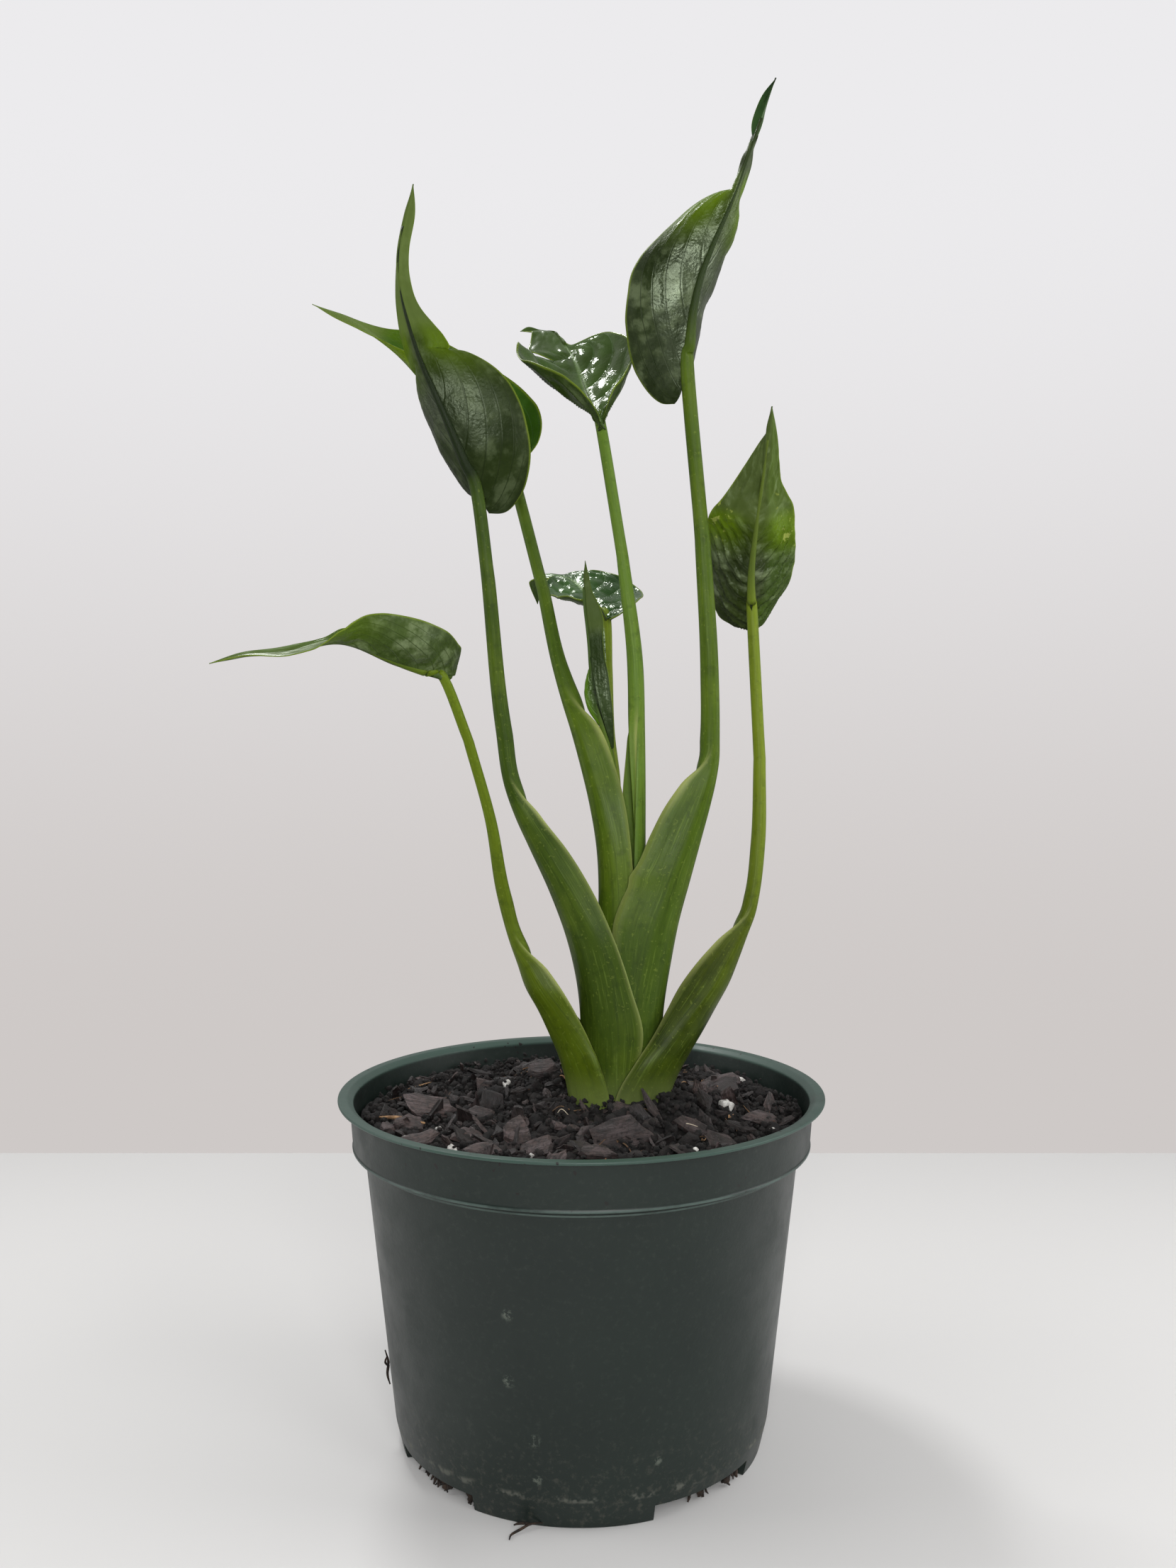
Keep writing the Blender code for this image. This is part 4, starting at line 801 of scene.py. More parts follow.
LEAF_PAINTS = {
    "a": dict(upper=rgb(44, 72, 28), under=rgb(70, 90, 36), mottle_and_sheen=0.9, glow=0.3, lance_glow=0.5,
              wrinkle=1.4),
    "b": dict(upper=UPPER_GREEN, under=rgb(40, 52, 20), mottle_and_sheen=0.3, glow=0.6, lance_glow=0.6,
              under_shine=0.34, under_mirror=0.4, ridge=0.95, wrinkle=1.2, bump=0.25),
    "c": dict(upper=rgb(64, 106, 18), under=rgb(122, 150, 30), shine=0.26, mottle_and_sheen=0.2, glow=0.5,
              lance_glow=0.95, mirror=0.12, under_mirror=0.2),
    "d": dict(upper=rgb(88, 112, 56), under=rgb(66, 88, 30), shine=0.07, wrinkle=0.2, bump=0.2,
              mirror=0.32),
    "e": dict(upper=UPPER_GREEN, under=rgb(38, 50, 18), mottle_and_sheen=0.6, glow=1.0, under_shine=0.30,
              under_mirror=1.5, ridge=0.6, wrinkle=1.2, bump=0.24),
    "f": dict(upper=UPPER_GREEN, under=rgb(48, 60, 20), mottle_and_sheen=1.0, glow=0.8, fleck=1.0,
              under_mirror=0.8, lance_glow=0.3, ridge=0.4, wrinkle=2.0, bump=0.5, pleated=0.7,
              brighter_half=0.16, brighter_half_span=(0.42, 0.28)),
    "g": dict(upper=rgb(70, 100, 60), under=rgb(60, 80, 30), shine=0.08, wrinkle=0.4, mirror=0.42),
    "h": dict(upper=rgb(50, 74, 26), under=rgb(54, 71, 35), mottle_and_sheen=0.4, under_mirror=0.35, brighter_half=0.6,
              wrinkle=1.6, lance_glow=0.3),
}
for number, (letter, look) in enumerate(LEAF_LOOKS.items(), start=1):
    veins = OWN_VEINS.get(letter, LONG_VEINS)
    paint = leaf_paint("leaf_" + letter, FORMS[letter].waist, veins, **LEAF_PAINTS[letter])
    leaf(letter, paint, float(number), veins, **look)

# %% [markdown]
# ## Stalks
#
# Each stalk is round above and opens below into a sheath that wraps the younger stalks.
# A section across it has an outer skin from the front edge round the back to the rear
# edge, and an inner skin back again. Up the stalk that loop closes into a circle. Here too
# a plain grid becomes the piece: its rows go up the stalk, its columns go round, and the
# first and last column are merged.

# %% The eight stalks in numbers
# Height, rounded back, the edge it opens to, depth from the viewer, and half its depth.
# Most backs and edges are what a scratch script printed: it turned points read off the photo
# into millimetres. They are data and not a design. Both depths were chosen.
STALKS = {
    "a": dict(sheath_top=166, wing=0.62, rows=(
        (100, -4.2, 9.6, 5, 15.0), (116, -5.2, 9.2, 5, 15.4), (128, -8.4, 5.6, 4.4, 14.6),
        (136, -11.7, 2.2, 3.4, 12.2), (144, -15.2, -1.9, 1.4, 9.5), (152, -19.3, -6.5, -1, 7.5),
        (160, -21.9, -12.3, -2, 5.0), (168, -24.5, -18.6, -4, 3.0), (184, -28.6, -23.8, -6, 2.4),
        (210, -32.3, -28.6, -11, 1.9), (236, -39.0, -35.6, -15, 1.7))),
    "f": dict(sheath_top=174, wing=0.6, rows=(
        (100, 30.0, 12.2, 5, 15.0), (116, 31.6, 11.6, 5, 15.6), (128, 37.4, 18.4, 5, 15.2),
        (136, 42.3, 24.1, 6, 13.2), (144, 46.9, 28.9, 7, 11.0), (152, 51.5, 33.7, 8, 8.5),
        (160, 54.9, 40.2, 9, 6.2), (168, 58.0, 48.0, 10, 4.2), (176, 61.1, 55.4, 11, 2.9),
        (182, 62.4, 57.2, 11.5, 2.7), (200, 64.6, 59.6, 13, 2.5), (230, 65.1, 60.9, 16, 2.1))),
    "b": dict(sheath_top=219, wing=0.35, rows=(
        (100, -0.9, 16.2, 5, 12.8), (120, -0.6, 18.0, 5, 13.0), (129, -0.5, 20.0, 5, 12.9),
        (136, -0.4, 20.9, 5, 12.8), (152, -1.7, 16.9, 5, 12.3), (168, -5.3, 11.5, 4.2, 11.4),
        (184, -11.0, 4.4, 2.4, 8.4), (200, -18.1, -5.3, 0, 5.8), (210, -22.5, -13.1, -2, 4.4),
        (220, -26.0, -19.6, -3, 3.2), (240, -29.1, -23.6, -4, 2.7), (290, -33.5, -29.0, -8, 2.2))),
    "e": dict(sheath_top=229, wing=0.4, rows=(
        (100, 27.0, 10.6, 5, 10.9), (120, 27.4, 10.6, 5, 11.1), (144, 28.6, 10.4, 5, 10.6),
        (160, 31.1, 10.4, 5, 9.9), (176, 34.3, 11.3, 5, 9.0), (182, 35.9, 13.6, 4.9, 8.4),
        (187, 37.3, 15.9, 4.8, 8.0), (190, 38.1, 16.2, 4.7, 7.8), (193, 38.9, 18.3, 4.6, 7.5),
        (204, 41.8, 23.4, 4, 6.0), (214, 44.4, 28.6, 3.4, 4.8), (222, 46.2, 34.2, 3, 4.0),
        (230, 47.4, 40.2, 3, 3.3), (237, 47.5, 40.8, 3, 3.1), (260, 47.0, 40.8, 2, 2.9),
        (305, 43.9, 38.7, 1, 2.4))),
    "c": dict(sheath_top=249, wing=0.35, rows=(
        (100, 2.4, 19.0, 5, 8.8), (128, 3.2, 19.3, 5, 8.8), (160, 5.0, 19.2, 5, 7.9),
        (172, 5.4, 18.8, 5, 7.4), (184, 5.8, 18.0, 5, 6.8), (200, 5.0, 16.9, 5, 6.0),
        (215, 2.5, 14.8, 6, 5.2), (228, -0.6, 11.4, 8, 4.4), (240, -3.9, 6.8, 10, 3.8),
        (250, -7.0, 0.6, 12, 3.1), (262, -10.3, -4.6, 14, 2.6), (290, -16.0, -11.6, 20, 2.1))),
    "d": dict(sheath_top=244, fore=0.35, wing=1.0, rows=(
        (100, 23.4, 9.0, 5, 6.8), (130, 23.6, 9.6, 5, 6.6), (170, 22.8, 11.4, 5, 5.1),
        (200, 22.2, 13.4, 5.4, 3.9), (220, 22.2, 14.4, 6, 3.4), (240, 22.0, 16.0, 7, 2.8),
        (262, 21.4, 15.9, 7.4, 2.7), (300, 16.3, 12.2, 8, 2.0))),
    "g": dict(sheath_top=0, wing=1.0, rows=(
        (100, 10.2, 13.8, 7.9, 1.8), (160, 9.8, 13.4, 7.9, 1.8), (185, 9.9, 13.3, 7.5, 1.6),
        (200, 9.8, 13.4, 7.5, 1.6), (210, 9.7, 13.4, 9.0, 1.8), (220, 9.6, 13.6, 12, 2.0),
        (240, 7.6, 11.5, 15, 1.9), (260, 7.2, 10.9, 19, 1.8))),
    "h": dict(sheath_top=0, wing=1.0, rows=(
        (100, 8.8, 13.2, 3.4, 1.9), (160, 9.5, 13.1, 3.5, 1.7), (185, 9.4, 12.8, 3.6, 1.6),
        (200, 9.2, 12.5, 3.8, 1.6), (215, 8.8, 12.2, 4.9, 1.6), (228, 8.9, 11.8, 7.2, 1.5))),
}
SHEATH_SKIN = 1.1
MARGIN_SKIN = 0.45
SHEATH_BACK = 2.4
SHEATH_CLOSING = 14.0
SHEATH_SLIMMING = 70.0

# %% A section across a stalk
ARM_STEPS = 7
ARC_STEPS = 18
SKIN_STEPS = 2 * ARM_STEPS + ARC_STEPS + 1
HALF_TURN = np.pi * (np.arange(SKIN_STEPS) / (SKIN_STEPS - 1) - 0.5)
# How far the arms of an open sheath turn in, as a share of its half depth, and the
# shortest that an arm can be.
TURNED_IN = 0.06
LEAST_ARM = 0.2
# A closed sheath is two half circles: the second stands off a little and is narrower.
CLOSED_GAP = 0.12
CLOSED_NARROWER = 0.985


def skin_path(bend, half, front, rear, inset=0.0, back=0.0):
    """One skin of the open sheath, from the front edge round the back to the rear edge."""
    arc = np.radians(np.linspace(-90, 90, ARC_STEPS + 1))
    hollow = max(bend - back, LEAST_ARM)
    x = back + hollow * (1 - np.cos(arc))
    y = (half - inset) * np.sin(arc)
    reach = np.linspace(0, 1, ARM_STEPS + 1)[1:]
    turn_in = TURNED_IN * half * reach ** 2
    front_x = x[0] + (front - x[0]) * reach
    rear_x = x[-1] + (rear - x[-1]) * reach
    x = np.concatenate([front_x[::-1], x, rear_x])
    y = np.concatenate([(y[0] + turn_in)[::-1], y, y[-1] - turn_in])
    return np.stack([x, y], axis=1)


def stalk_section(row, fore, wing, sheath, core):
    """Closed loop across a stalk: sheath is 1 where it is open and 0 where it is round.

    fore and wing are the shares of the width that the near and the far margin reach over,
    and core is how thick the back of the sheath is.
    """
    height, back, edge, depth, half = row
    opening = 1 if edge > back else -1
    length = abs(edge - back)
    bend = min(half, length)
    skin = min(SHEATH_SKIN, half / 2)
    front = max(length * fore, bend + LEAST_ARM)
    rear = max(length * wing, bend + LEAST_ARM)
    outer = skin_path(bend, half, front, rear)
    inner = skin_path(bend, half, front, rear, skin, core)
    taper = np.abs(np.linspace(-1, 1, SKIN_STEPS)) ** 6
    inner[:, 1] += np.sign(inner[:, 1]) * taper * (skin - MARGIN_SKIN)
    loop = np.concatenate([outer, inner[::-1]])
    radius = length / 2
    there = np.stack([radius - radius * np.cos(HALF_TURN), half * np.sin(HALF_TURN)], axis=1)
    back_turn = HALF_TURN[::-1]
    again = np.stack([radius + radius * np.cos(back_turn) + CLOSED_GAP, half * np.sin(back_turn)], axis=1)
    again[[0, -1], 1] *= CLOSED_NARROWER
    ring = np.concatenate([there, again])
    flat = ring + (loop - ring) * sheath
    return [(back + opening * x, depth + y, height) for x, y in flat]


# %% [markdown]
# A stalk doesn't stop at its leaf: it bends over and goes on as the rib under the blade.
# So the same sections are carried along the midrib, and shrink there into the blade.

# %% The bend into the midrib
NECK_STEPS = 60
NECK_REACH = 0.86
NECK_TIP = 0.5
RIB_KNOTS = 9


def neck(form, loop, radius):
    """Sections that carry the stalk round its bend and fade it into the midrib's underside."""
    start = np.mean(np.array(loop), axis=0)
    along = np.linspace(0.02, NECK_REACH, RIB_KNOTS)
    place, _, normal, _ = form.frame(along)
    radii = NECK_TIP + (radius * 0.95 - NECK_TIP) * np.linspace(1, 0, RIB_KNOTS) ** 2.2
    under = place - normal * (0.35 + radii * 0.55)[:, None]
    knots = np.concatenate([[0.0], 0.10 + 0.90 * (along - along[0]) / (along[-1] - along[0])])
    at = np.linspace(0, 1, NECK_STEPS + 1)[1:]
    line = flow(knots, np.vstack([start, under]), at)
    size = flow(knots, np.concatenate([[radius], radii]), at)
    ahead = unit(np.gradient(np.vstack([start, line]), axis=0))[1:]
    first = np.array([np.sign(start[0] - loop[len(loop) // 4][0]), 0.0, 0.0])
    around = np.concatenate([HALF_TURN, HALF_TURN + np.pi])
    loops = []
    for middle, wide, way in zip(line, size, ahead):
        side = np.array([0.0, 1.0, 0.0])
        side = unit(side - way * np.dot(side, way))
        front = np.cross(side, way)
        front = front if np.dot(front, first) > 0 else -front
        ring = middle + wide * (np.cos(around)[:, None] * -front + np.sin(around)[:, None] * side)
        loops.append([tuple(point) for point in ring])
    return loops


# %% Making a stalk
STALK_RISE = 1.6
# How open the sheath still is at its top, before smoothing. Its margin gets paler and wider
# over the length of the ear there.
OPEN_AT_TOP = 0.45
EAR_LENGTH = 26.0
MARGIN_TONE = 0.3
EAR_TONE = 0.5
MARGIN_COLUMNS = 1.4
EAR_COLUMNS = 1.8
RIB_STARTS = 0.07


def stalk(letter, paint, rib_fade):
    """Skin the sections of one stalk, from the corm up, and on under the midrib of its leaf."""
    spec = STALKS[letter]
    rows = np.array(spec["rows"], float)
    top = spec["sheath_top"]
    round_from = max(top + SHEATH_CLOSING / 2, rows[0, 0])
    full = abs(flow(rows[:, 0], rows[:, 1] - rows[:, 2], round_from)[0])
    count = int((rows[-1, 0] - rows[0, 0]) / STALK_RISE)
    heights = np.linspace(rows[0, 0], rows[-1, 0], count + 1)
    measured = flow(rows[:, 0], rows[:, 1:], heights)
    loops = []
    # Of each section: how open it is, how pale its margin is and over how many columns,
    # and how much of a rib it is.
    marks = []
    for height, values in zip(heights, measured):
        sheath = float(smooth_step((top - height) / SHEATH_CLOSING + OPEN_AT_TOP)) if top else 0.0
        slimming = float(smooth_step((top - height) / SHEATH_SLIMMING))
        core = full * (1 - slimming) + SHEATH_BACK * slimming
        loops.append(stalk_section((height, *values), spec.get("fore", 1.0), spec["wing"], sheath, core))
        ear = float(smooth_step((height - top + EAR_LENGTH) / EAR_LENGTH))
        tone = sheath * (MARGIN_TONE + EAR_TONE * ear)
        marks.append((sheath, tone, MARGIN_COLUMNS + EAR_COLUMNS * ear, 0.0))
    last = measured[-1]
    bent = neck(FORMS[letter], loops[-1], (abs(last[0] - last[1]) / 2 + last[3]) / 2)
    loops += bent
    for share in np.linspace(0, 1, len(bent)):
        marks.append((0.0, 0.0, 1.0, float(smooth_step((share - RIB_STARTS) / rib_fade))))

    around = 2 * SKIN_STEPS
    bm = bmesh.new()
    bmesh.ops.create_grid(bm, x_segments=around, y_segments=len(loops) - 1, size=1.0)
    margin = bm.verts.layers.float.new("margin")
    inside = bm.verts.layers.float.new("inside")
    rib = bm.verts.layers.float.new("rib")
    stalk_map = bm.loops.layers.uv.new("stalk")
    places = {vert: cell(vert, len(loops) - 1, around) for vert in bm.verts}
    for face in bm.faces:
        for loop in face.loops:
            i, j = places[loop.vert]
            loop[stalk_map].uv = (j / around, loops[i][0][2] / 100)
    for vert, (i, j) in places.items():
        k = j % around
        opened, pale, spread, ribbed = marks[i]
        to_edge = min(k % SKIN_STEPS, SKIN_STEPS - 1 - k % SKIN_STEPS) / spread
        vert.co = Vector(loops[i][k])
        vert[margin] = max(0.0, 1.0 - to_edge) * pale
        vert[inside] = opened if k >= SKIN_STEPS else 0.0
        vert[rib] = ribbed
    close_tube(bm)
    return piece(bm, "stalk_" + letter, paint, ["petiole_" + letter])


# %% [markdown]
# A fresh stalk is green with darker streaks along it, yellower towards the soil, and its
# sheath has a thin pale edge. The streaks follow the UV map, which runs round the stalk in
# one direction and up it in the other.

# %% The stalk finish
def stalk_paint(name, high, low, ridge):
    """Streaked green between two tones, with a pale margin and a rib of its own colour."""
    paint, tree, output = new_material(name)
    place = node(tree, "TexCoord").outputs["Object"]
    height = height_of(tree, place)
    on_stalk = node(tree, "UVMap", uv_map="stalk").outputs[0]
    streaks = speckle(tree, stretched(tree, on_stalk, 34.0, 2.2), 1.6, 5.0, 0.65)
    hairlines = speckle(tree, stretched(tree, on_stalk, 150.0, 5.0), 1.0)
    broad = speckle(tree, place, 45.0)
    fine = speckle(tree, place, 700.0, 2.0)
    mottle = speckle(tree, place, 240.0, 4.0, 0.65)
    dots = speckle(tree, place, 900.0, 2.0)
    colour = mix_colour(tree, fade(tree, height, 125, 235), low, high)
    colour = mix_colour(tree, fade(tree, broad, 0.4, 0.7, 0.0, 0.3), colour, rgb(104, 124, 34))
    dark = mix_colour(tree, 0.5, colour, rgb(26, 42, 10))
    colour = layered(
        tree, colour,
        (fade(tree, streaks, 0.45, 0.72, 0.0, 0.8), dark),
        (fade(tree, hairlines, 0.54, 0.70, 0.0, 0.35), rgb(112, 134, 54)),
        (fade(tree, mottle, 0.52, 0.70, 0.0, 0.6), dark),
        (fade(tree, dots, 0.62, 0.72, 0.0, 0.25), rgb(140, 156, 66)),
        (fade(tree, height, 113, 127, 0.5, 0.0), rgb(118, 132, 76)),
        (times(tree, from_mesh(tree, "inside"), 0.4), rgb(100, 124, 44)),
        (from_mesh(tree, "margin"), rgb(184, 190, 118)),
        (from_mesh(tree, "rib"), ridge))
    relief = maths(tree, "MULTIPLY_ADD", streaks, 0.8, times(tree, hairlines, 0.5))
    relief = maths(tree, "MULTIPLY_ADD", fine, 0.25, relief)
    rough = fade(tree, streaks, 0.3, 0.8, 0.30, 0.46)
    looks = {"Specular IOR Level": 0.10, "Subsurface Weight": 0.10, "Subsurface Radius": (0.6, 1.0, 0.2),
             "Subsurface Scale": 0.002}
    tree.links.new(shader_of(tree, colour, rough, relief, 0.3, 0.0004, looks), output.inputs[0])
    return paint


# %% Making the eight stalks
DARK_RIDGE = rgb(26, 37, 14)
QUICK_FADE = 0.08
SLOW_FADE = 0.30
# The colour of each stalk near its leaf, near the soil, and of the rib that it ends in.
STALK_PAINTS = {
    "a": (rgb(92, 110, 14), rgb(74, 90, 14), rgb(74, 92, 26)),
    "b": (rgb(54, 74, 16), rgb(62, 81, 22), DARK_RIDGE),
    "c": (rgb(66, 88, 20), rgb(80, 102, 24), rgb(80, 104, 30)),
    "d": (rgb(94, 122, 42), rgb(74, 106, 44), rgb(62, 84, 28)),
    "e": (rgb(70, 92, 20), rgb(62, 82, 26), rgb(42, 56, 24)),
    "f": (rgb(112, 128, 28), rgb(29, 40, 6), rgb(84, 100, 36)),
    "g": (rgb(112, 128, 40), rgb(78, 102, 28), rgb(92, 112, 36)),
    "h": (rgb(78, 102, 28), rgb(78, 102, 28), rgb(62, 82, 34)),
}
for letter, colours in STALK_PAINTS.items():
    rib_fade = QUICK_FADE if DARK_RIDGE in colours else SLOW_FADE
    stalk(letter, stalk_paint("stalk_" + letter, *colours), rib_fade)

# %% [markdown]
# ## Pot
#
# The pot is turned from one profile: a lip that stands out, an upright band, a slanted
# ledge that shows as two fine lines, a tapering wall and a foot ring. The edges are
# rounded in the profile itself, and only the drain notches and slots are cut.

# %% Turning and rounding a profile
CORNER_STEPS = 4


def rounded(profile, radius):
    """Cut each inner corner of a profile back and put an arc of a few points there."""
    made = [profile[0]]
    for before, corner, after in zip(profile[:-2], profile[1:-1], profile[2:]):
        corner = Vector(corner)
        to_before = Vector(before) - corner
        to_after = Vector(after) - corner
        cut = min(radius, to_before.length * 0.4, to_after.length * 0.4)
        start = corner + to_before.normalized() * cut
        end = corner + to_after.normalized() * cut
        for i in range(CORNER_STEPS + 1):
            t = i / CORNER_STEPS
            made.append(tuple((1 - t) ** 2 * start + 2 * t * (1 - t) * corner + t * t * end))
    return made + [profile[-1]]


def spun(bm, profile, steps):
    """Spin a run of (radius, height) points once round Z."""
    verts = [bm.verts.new((radius, 0, height)) for radius, height in profile]
    edges = [bm.edges.new(pair) for pair in zip(verts[:-1], verts[1:])]
    bmesh.ops.spin(bm, geom=verts + edges, cent=(0, 0, 0), axis=(0, 0, 1), angle=2 * math.pi, steps=steps)
    bmesh.ops.remove_doubles(bm, verts=bm.verts, dist=0.002)


# %% Pot sizes and profile
RIM_RADIUS = 82.5
POT_HEIGHT = 117.1
LIP_THICKNESS = 1.1
LIP_WIDTH = 3.1
BAND_TOP_RADIUS = 78.6
BAND_FOOT_RADIUS = 77.5
BAND_FOOT_Z = 101.0
WALL_TOP_RADIUS = 73.5
WALL_TOP_Z = 98.2
FOOT_EDGE_RADIUS = 63.7
FOOT_EDGE_Z = 9.5
FOOT_RADIUS = 61.4
FOOT_WIDTH = 2.2
POT_WALL = 1.3
FLOOR_TOP_Z = 7.5
FLOOR_THICKNESS = 1.5
DISH_OUTER_RADIUS = 26.0
DISH_INNER_RADIUS = 20.0
POT_STEPS = 168
floor_low = FLOOR_TOP_Z - FLOOR_THICKNESS
pot_profile = (
    (0, 0), (DISH_INNER_RADIUS, 0), (DISH_OUTER_RADIUS, floor_low),
    (FOOT_RADIUS - FOOT_WIDTH, floor_low), (FOOT_RADIUS - FOOT_WIDTH, 0), (FOOT_RADIUS, 0),
    (FOOT_EDGE_RADIUS, FOOT_EDGE_Z), (WALL_TOP_RADIUS, WALL_TOP_Z),
    (WALL_TOP_RADIUS + 0.35, WALL_TOP_Z + 0.1), (WALL_TOP_RADIUS + 0.3, WALL_TOP_Z + 0.7),
    (BAND_FOOT_RADIUS - 0.2, BAND_FOOT_Z - 0.5), (BAND_FOOT_RADIUS + 0.25, BAND_FOOT_Z - 0.2),
    (BAND_FOOT_RADIUS + 0.25, BAND_FOOT_Z + 0.4), (BAND_FOOT_RADIUS + 0.02, BAND_FOOT_Z + 0.9),
    (BAND_TOP_RADIUS, POT_HEIGHT - LIP_THICKNESS), (RIM_RADIUS, POT_HEIGHT - LIP_THICKNESS + 0.1),
    (RIM_RADIUS, POT_HEIGHT), (RIM_RADIUS - LIP_WIDTH, POT_HEIGHT),
    (BAND_TOP_RADIUS - POT_WALL, POT_HEIGHT - 1.4),
    (BAND_FOOT_RADIUS - POT_WALL, BAND_FOOT_Z + 0.8), (WALL_TOP_RADIUS - POT_WALL, WALL_TOP_Z + 0.6),
    (FOOT_EDGE_RADIUS - POT_WALL - 0.1, FLOOR_TOP_Z), (DISH_OUTER_RADIUS - 0.6, FLOOR_TOP_Z),
    (DISH_INNER_RADIUS - 0.6, FLOOR_THICKNESS), (0, FLOOR_THICKNESS),
)

# %% [markdown]
# Nursery pots are thin, satin, dark green plastic. Handling leaves pale rub marks, a worn
# ring where the wall meets the foot, dirt near the foot and specks of mix near the rim, and
# the two edges of the ledge get a painted highlight. Most of these are a mask: a range of
# heights times a broken noise.

# %% The pot finish
WALL_SLOPE = (WALL_TOP_RADIUS - FOOT_EDGE_RADIUS) / (WALL_TOP_Z - FOOT_EDGE_Z)
# Heights in millimetres between which the worn foot ring, the paler lip and the specks of
# mix come up, and the dirt from below ends.
FOOT_RING = (8.4, 9.3, 10.0, 11.6)
LIP_START = (114.6, 115.8)
SPECKS_START = (96, 108)
DIRT_END = (4, 36)
# Rub marks: angle round the pot in degrees, height and size.
RUB_MARKS = (
    (252, 67.0, 2.4), (251.5, 46.0, 2.6), (258, 28.0, 2.6), (258.5, 15.5, 2.2), (291, 20.0, 1.8),
    (75, 60.0, 2.6), (110, 34.0, 2.2), (5, 52.0, 2.4), (178, 40.0, 2.4), (330, 74.0, 1.6),
)


def round_pot(radius, angle, height):
    """A point at an angle round the pot's axis."""
    return radius * math.cos(angle), radius * math.sin(angle), height


def pot_paint():
    """Satin dark green, paler on the lip, with painted highlights on its ledge edges and dusty at its foot.
    """
    paint, tree, output = new_material("pot_plastic")
    place = node(tree, "TexCoord").outputs["Object"]
    height = height_of(tree, place)
    broad = speckle(tree, place, 14.0, 4.0)
    cloud = speckle(tree, place, 70.0, 5.0, 0.65)
    fine = speckle(tree, place, 900.0)
    scratches = speckle(tree, place, 520.0, 4.0, 0.7)
    broken = fade(tree, speckle(tree, place, 160.0, 3.0, 0.7), 0.50, 0.62)
    worn = times(tree, band(tree, height, *FOOT_RING), broken)
    colour = layered(
        tree, mix_colour(tree, fade(tree, broad, 0.3, 0.7), rgb(16, 28, 24), rgb(22, 34, 29)),
        (fade(tree, height, *LIP_START, 0.0, 0.6), rgb(66, 92, 82)),
        (fade(tree, scratches, 0.50, 0.80, 0.0, 0.06), rgb(118, 122, 112)),
        (times(tree, worn, 0.25), rgb(150, 150, 138)))
    for angle, mark_z, size in RUB_MARKS:
        reach = WALL_TOP_RADIUS - (WALL_TOP_Z - mark_z) * WALL_SLOPE
        spot = [value * MM for value in round_pot(reach, math.radians(angle), mark_z)]
        away = node(tree, "VectorMath", {0: place, 1: spot}, operation="DISTANCE").outputs["Value"]
        inside_mark = fade(tree, away, size * 0.2 * MM, size * MM, 1.0, 0.0)
        rubs_and_edge_highlights = times(tree, inside_mark, fade(tree, scratches, 0.46, 0.6, 0.0, 0.5))
        colour = mix_colour(tree, rubs_and_edge_highlights, colour, rgb(120, 128, 116))
    # Painted highlight: a thin paler line along each of the two edges of the ledge.
    for highlight_line_z in (WALL_TOP_Z + 0.45, BAND_FOOT_Z + 0.15):
        limits = [highlight_line_z + away for away in (-0.45, -0.1, 0.25, 0.6)]
        rubs_and_edge_highlights = times(tree, band(tree, height, *limits), fade(tree, cloud, 0.3, 0.6, 0.25, 0.75))
        colour = mix_colour(tree, rubs_and_edge_highlights, colour, rgb(82, 98, 92))
    low_dirt = times(tree, fade(tree, height, *DIRT_END, 0.3, 0.0), fade(tree, scratches, 0.50, 0.70))
    speck = fade(tree, speckle(tree, place, 420.0, 1.0), 0.735, 0.76)
    near_rim = times(tree, speck, fade(tree, height, *SPECKS_START))
    colour = layered(tree, colour, (low_dirt, rgb(88, 84, 74)), (near_rim, rgb(20, 16, 14)))
    rough = maths(tree, "MULTIPLY_ADD", worn, 0.2, fade(tree, cloud, 0.3, 0.8, 0.38, 0.52))
    relief = maths(tree, "MULTIPLY_ADD", fine, 0.6, times(tree, cloud, 1.2))
    satin = shader_of(tree, colour, rough, relief, 0.16, 0.0004, {"Specular IOR Level": 0.4})
    tree.links.new(satin, output.inputs[0])
    return paint


# %% Drain notches and slots
NOTCHES = ((39.5, 37.0), (129.5, 37.0), (219.5, 37.0), (309.5, 37.0))
NOTCH_HEIGHT = 5.3
SLOT_WIDTH = 22.0
SLOT_RADII = (43.0, 51.0)


def arc_block(inner, outer, low, high, middle, width, steps=14):
    """A block bent round the pot's axis, which cuts a notch or a slot."""
    bm = bmesh.new()
    corners = ((inner, low), (outer, low), (outer, high), (inner, high))
    turn = Matrix.Rotation(math.radians(middle - width / 2 - 90), 3, "Z")
    face = bm.faces.new([bm.verts.new(turn @ Vector((r, 0, z))) for r, z in corners])
    bmesh.ops.spin(bm, geom=[face], cent=(0, 0, 0), axis=(0, 0, 1), angle=math.radians(width), steps=steps)
    bmesh.ops.remove_doubles(bm, verts=bm.verts, dist=0.001)
    bmesh.ops.recalc_face_normals(bm, faces=bm.faces)
    bmesh.ops.scale(bm, vec=(MM, MM, MM), verts=bm.verts)
    mesh = bpy.data.meshes.new("cutter")
    bm.to_mesh(mesh)
    bm.free()
    return bpy.data.objects.new("cutter", mesh)


